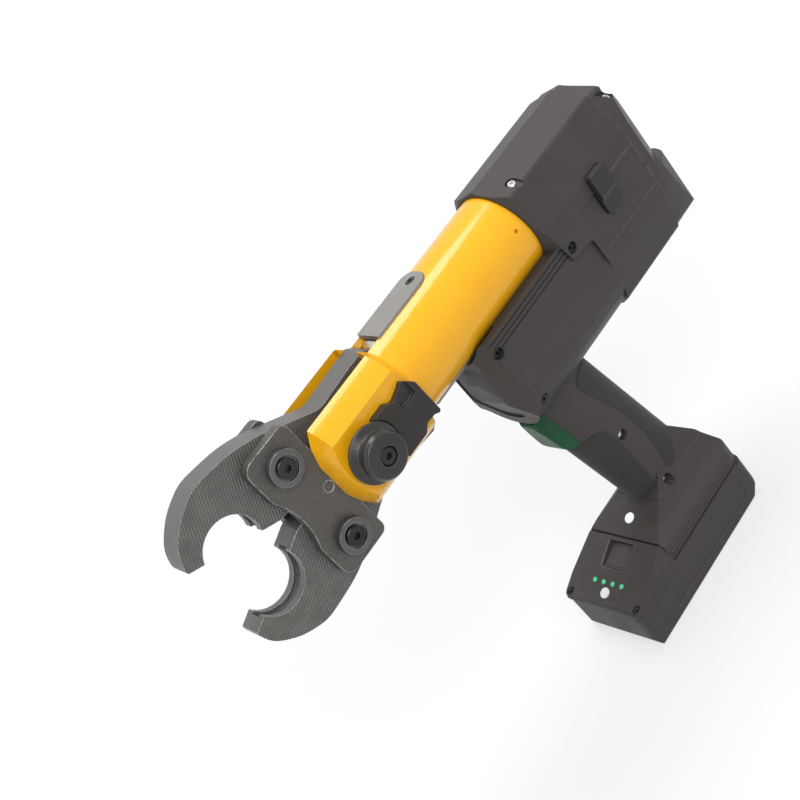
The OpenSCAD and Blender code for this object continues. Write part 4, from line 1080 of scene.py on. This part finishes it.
class PRESS_OT_lock(PieceOperator, bpy.types.Operator):
    """Locking pin, knob and latch slide"""

    bl_idname = "press.lock"
    bl_label = "Pin and latch"

    def execute(self, context):
        dress("locking_pin", "pin_shaft", "Pin steel", "pin_steel", FINE_EDGE)
        dress("pin_knob", "knob", "Black knob", "knob_black", TURNED_EDGE)
        dress("latch_slide", "latch_plate", "Black latch", "knob_black", LATCH_EDGE, segments=3)
        return {"FINISHED"}


class PRESS_OT_jaws(PieceOperator, bpy.types.Operator):
    """Plates, bolts and jaw levers"""

    bl_idname = "press.jaws"
    bl_label = "Jaw set"

    def execute(self, context):
        edge = context.scene.press_jaws.edge
        for node in ("plate_left", "plate_right"):
            dress(node, "side_" + node, "Jaw steel", "jaw_steel", edge)
        bolt, half = stacked("jaw_bolts")
        for node, way, opening in (("upper_lever", 1, UPPER_OPEN), ("lower_lever", -1, LOWER_OPEN)):
            arm = Matrix.Rotation(-way * radians(opening), 3, "Y") @ Vector((MOUTH_AHEAD, 0.0, -way * half))
            mouth = bolt + Vector((0.0, 0.0, way * half)) + arm
            dress(node, "jaw_" + node, "Lever steel", "jaw_steel", edge,
                  before=lambda piece, mouth=mouth: ease_rim(piece, mouth))
        dress("jaw_bolts", "bolt_heads", "Turned bolt", "bolt_steel", FINE_EDGE)
        return {"FINISHED"}


class PRESS_OT_drive(PieceOperator, bpy.types.Operator):
    """Finishes of the parts inside the housing and the head"""

    bl_idname = "press.drive"
    bl_label = "Drive parts"

    plain = {
        "Drive steel": ("motor_can", "eccentric_shaft", "retaining_ring", "return_spring", "jaw_spring"),
        "Cast alloy": ("gear_case", "pump_block", "cylinder_sleeve"),
        "Inner plastic": ("oil_tank", "switch", "terminal_block"), "Pin steel": ("piston", "roller_pins"),
        "Copper winding": ("rotor",), "Bearing bronze": ("bearing_rings",), "Jaw steel": ("spring_pin",),
        "Circuit board": ("control_board",), "Seal rubber": ("piston_seal",),
        "Cell sleeve": ("battery_cells",),
    }

    def execute(self, context):
        for material, nodes in self.plain.items():
            for node in nodes:
                coat_mesh(NODES[node].data, material)
        dress("roller_fork", "press_fork", "Drive steel", "drive_steel", TURNED_EDGE)
        for end in ("upper", "lower"):
            dress(end + "_roller", "press_roller_" + end, "Pin steel", "drive_steel", TURNED_EDGE)
        return {"FINISHED"}


class PRESS_OT_battery(PieceOperator, bpy.types.Operator):
    """Battery case, block, latch, button and charge lights"""

    bl_idname = "press.battery"
    bl_label = "Battery"

    def execute(self, context):
        edge = context.scene.press_battery.edge
        dress("battery_case", "battery_shell", "Battery moulding", "housing", edge, segments=3)
        dress("battery_top", "battery_block", "Battery moulding", "housing", edge * 0.8, segments=3)
        dress("release_button", "battery_latch", "Latch moulding", "housing", RELEASE_EDGE)
        dress("charge_button", "gauge_key", "Gauge button", "button", FINE_EDGE)
        lights = light_tree()
        low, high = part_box("charge_lights")
        pitch = (high.y - low.y - LIGHT_WIDTH) / (LIGHTS - 1)
        middle = (low + high) / 2
        places = [pitch * (number - (LIGHTS - 1) / 2) for number in range(LIGHTS)]
        spots = [(Vector((middle.x, place, middle.z)) + BLOCK_WAY * DOME_LIFT, BLOCK_WAY) for place in places]
        piece = grown("charge_domes", lights, spots, {"Radius": 0.0019, "Rise": 0.0007}, "Charge light")
        settle(piece, "Charge light", ["charge_lights"])
        return {"FINISHED"}


class PRESS_OT_screws(PieceOperator, bpy.types.Operator):
    """Every screw head, grown on its place"""

    bl_idname = "press.screws"
    bl_label = "Screws"

    def execute(self, context):
        tree = screw_tree()
        side = Vector((0.0, 1.0, 0.0))
        roof = (at(-193.5, 22.44, 28.7), Vector((0.0, 0.276, 0.961)))
        cap = (at(-288.45, 26.44, 13.93), Vector((-0.450, 0.551, 0.703)))
        grip = [(at(*spot), side) for spot in ((-145.4, 14.6, -162.5), (-150.6, 14.6, -217.8))]
        self.grow("shell_screws", tree, [roof, cap, *grip],
                  (0.0030, 0.0014, 0.0006, 0.0017, 0.0011, 6), ["housing_screws"], "Bright screw")
        walls = ((-191.4, 34.6, -27.0), (-105.0, 31.2, -31.5), (-109.0, 32.8, -80.0))
        self.grow("wall_screws", tree, [(at(*spot), side) for spot in walls],
                  (0.0036, 0.0022, 0.0005, 0.0019, 0.0012, 6), [])
        low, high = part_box("guard_screws")
        middle = (low.x + high.x) / 2
        guards = [(Vector((middle, 0.0, height)), Vector((0, 0, way)))
                  for height, way in ((high.z, 1), (low.z, -1))]
        self.grow("guard_bar_screws", tree, guards,
                  (0.0038, 0.0018, 0.0005, 0.0024, 0.0010, 3), ["guard_screws"])
        low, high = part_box("bolt_screws")
        between, half = stacked("bolt_screws")
        heads = [(Vector((between.x, high.y, PIN.z + way * half)), side) for way in (-1, 1)]
        self.grow("bolt_star_screws", tree, heads,
                  ((high.x - low.x) / 2, 0.003, 0.0006, 0.0030, 0.0020, 6), ["bolt_screws"])
        low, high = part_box("knob_screw")
        self.grow("knob_star_screw", tree, [(Vector((PIN.x, high.y, PIN.z)), side)],
                  ((high.x - low.x) / 2, 0.003, 0.0006, 0.0028, 0.0019, 6), ["knob_screw"])
        low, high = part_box("battery_screws")
        middle = (low.x + high.x) / 2
        corners = [(Vector((middle, way * BLOCK_SCREW_ASIDE, high.z - 0.0008)), BLOCK_WAY) for way in (-1, 1)]
        self.grow("block_screws", tree, corners,
                  (0.0027, 0.002, 0.0004, 0.0016, 0.0010, 6), ["battery_screws"])
        return {"FINISHED"}

    @staticmethod
    def grow(name, tree, spots, sizes, nodes, material="Black screw"):
        """Screws on spots, with a size for each name in SCREW_SIZES."""
        values = dict(zip(SCREW_SIZES, sizes))
        values["Drive Depth"] = values["Head Height"] * RECESS_SHARE
        piece = grown(name, tree, spots, values, material)
        body = None if nodes else NODES["housing_screws"]["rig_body"]
        settle(piece, material, nodes, body)


OPERATORS = (
    PRESS_OT_stage, PRESS_OT_finishes, PRESS_OT_housing, PRESS_OT_grip, PRESS_OT_head,
    PRESS_OT_lock, PRESS_OT_jaws, PRESS_OT_drive, PRESS_OT_battery, PRESS_OT_screws,
)


class PRESS_PT_panel(bpy.types.Panel):
    """Steps that dress the press tool"""

    bl_idname = "PRESS_PT_panel"
    bl_label = "Press tool"
    bl_space_type = "VIEW_3D"
    bl_region_type = "UI"
    bl_category = "Press tool"

    def draw(self, context):
        for operator in OPERATORS:
            self.layout.operator(operator.bl_idname)
        for name, kind in SETTINGS.items():
            box = self.layout.box()
            for label in kind.__annotations__:
                box.prop(getattr(context.scene, name), label)


CLASSES = (*SETTINGS.values(), *OPERATORS, PRESS_PT_panel)


def register():
    """Adds the classes and the scene's settings."""
    for kind in CLASSES:
        bpy.utils.register_class(kind)
    for name, kind in SETTINGS.items():
        setattr(bpy.types.Scene, name, PointerProperty(type=kind))


def unregister():
    """Takes the settings and classes away again."""
    for name in SETTINGS:
        delattr(bpy.types.Scene, name)
    for kind in reversed(CLASSES):
        bpy.utils.unregister_class(kind)


def main():
    register()
    for operator in OPERATORS:
        group, name = operator.bl_idname.split(".")
        getattr(getattr(bpy.ops, group), name)()


if __name__ == "__main__":
    main()
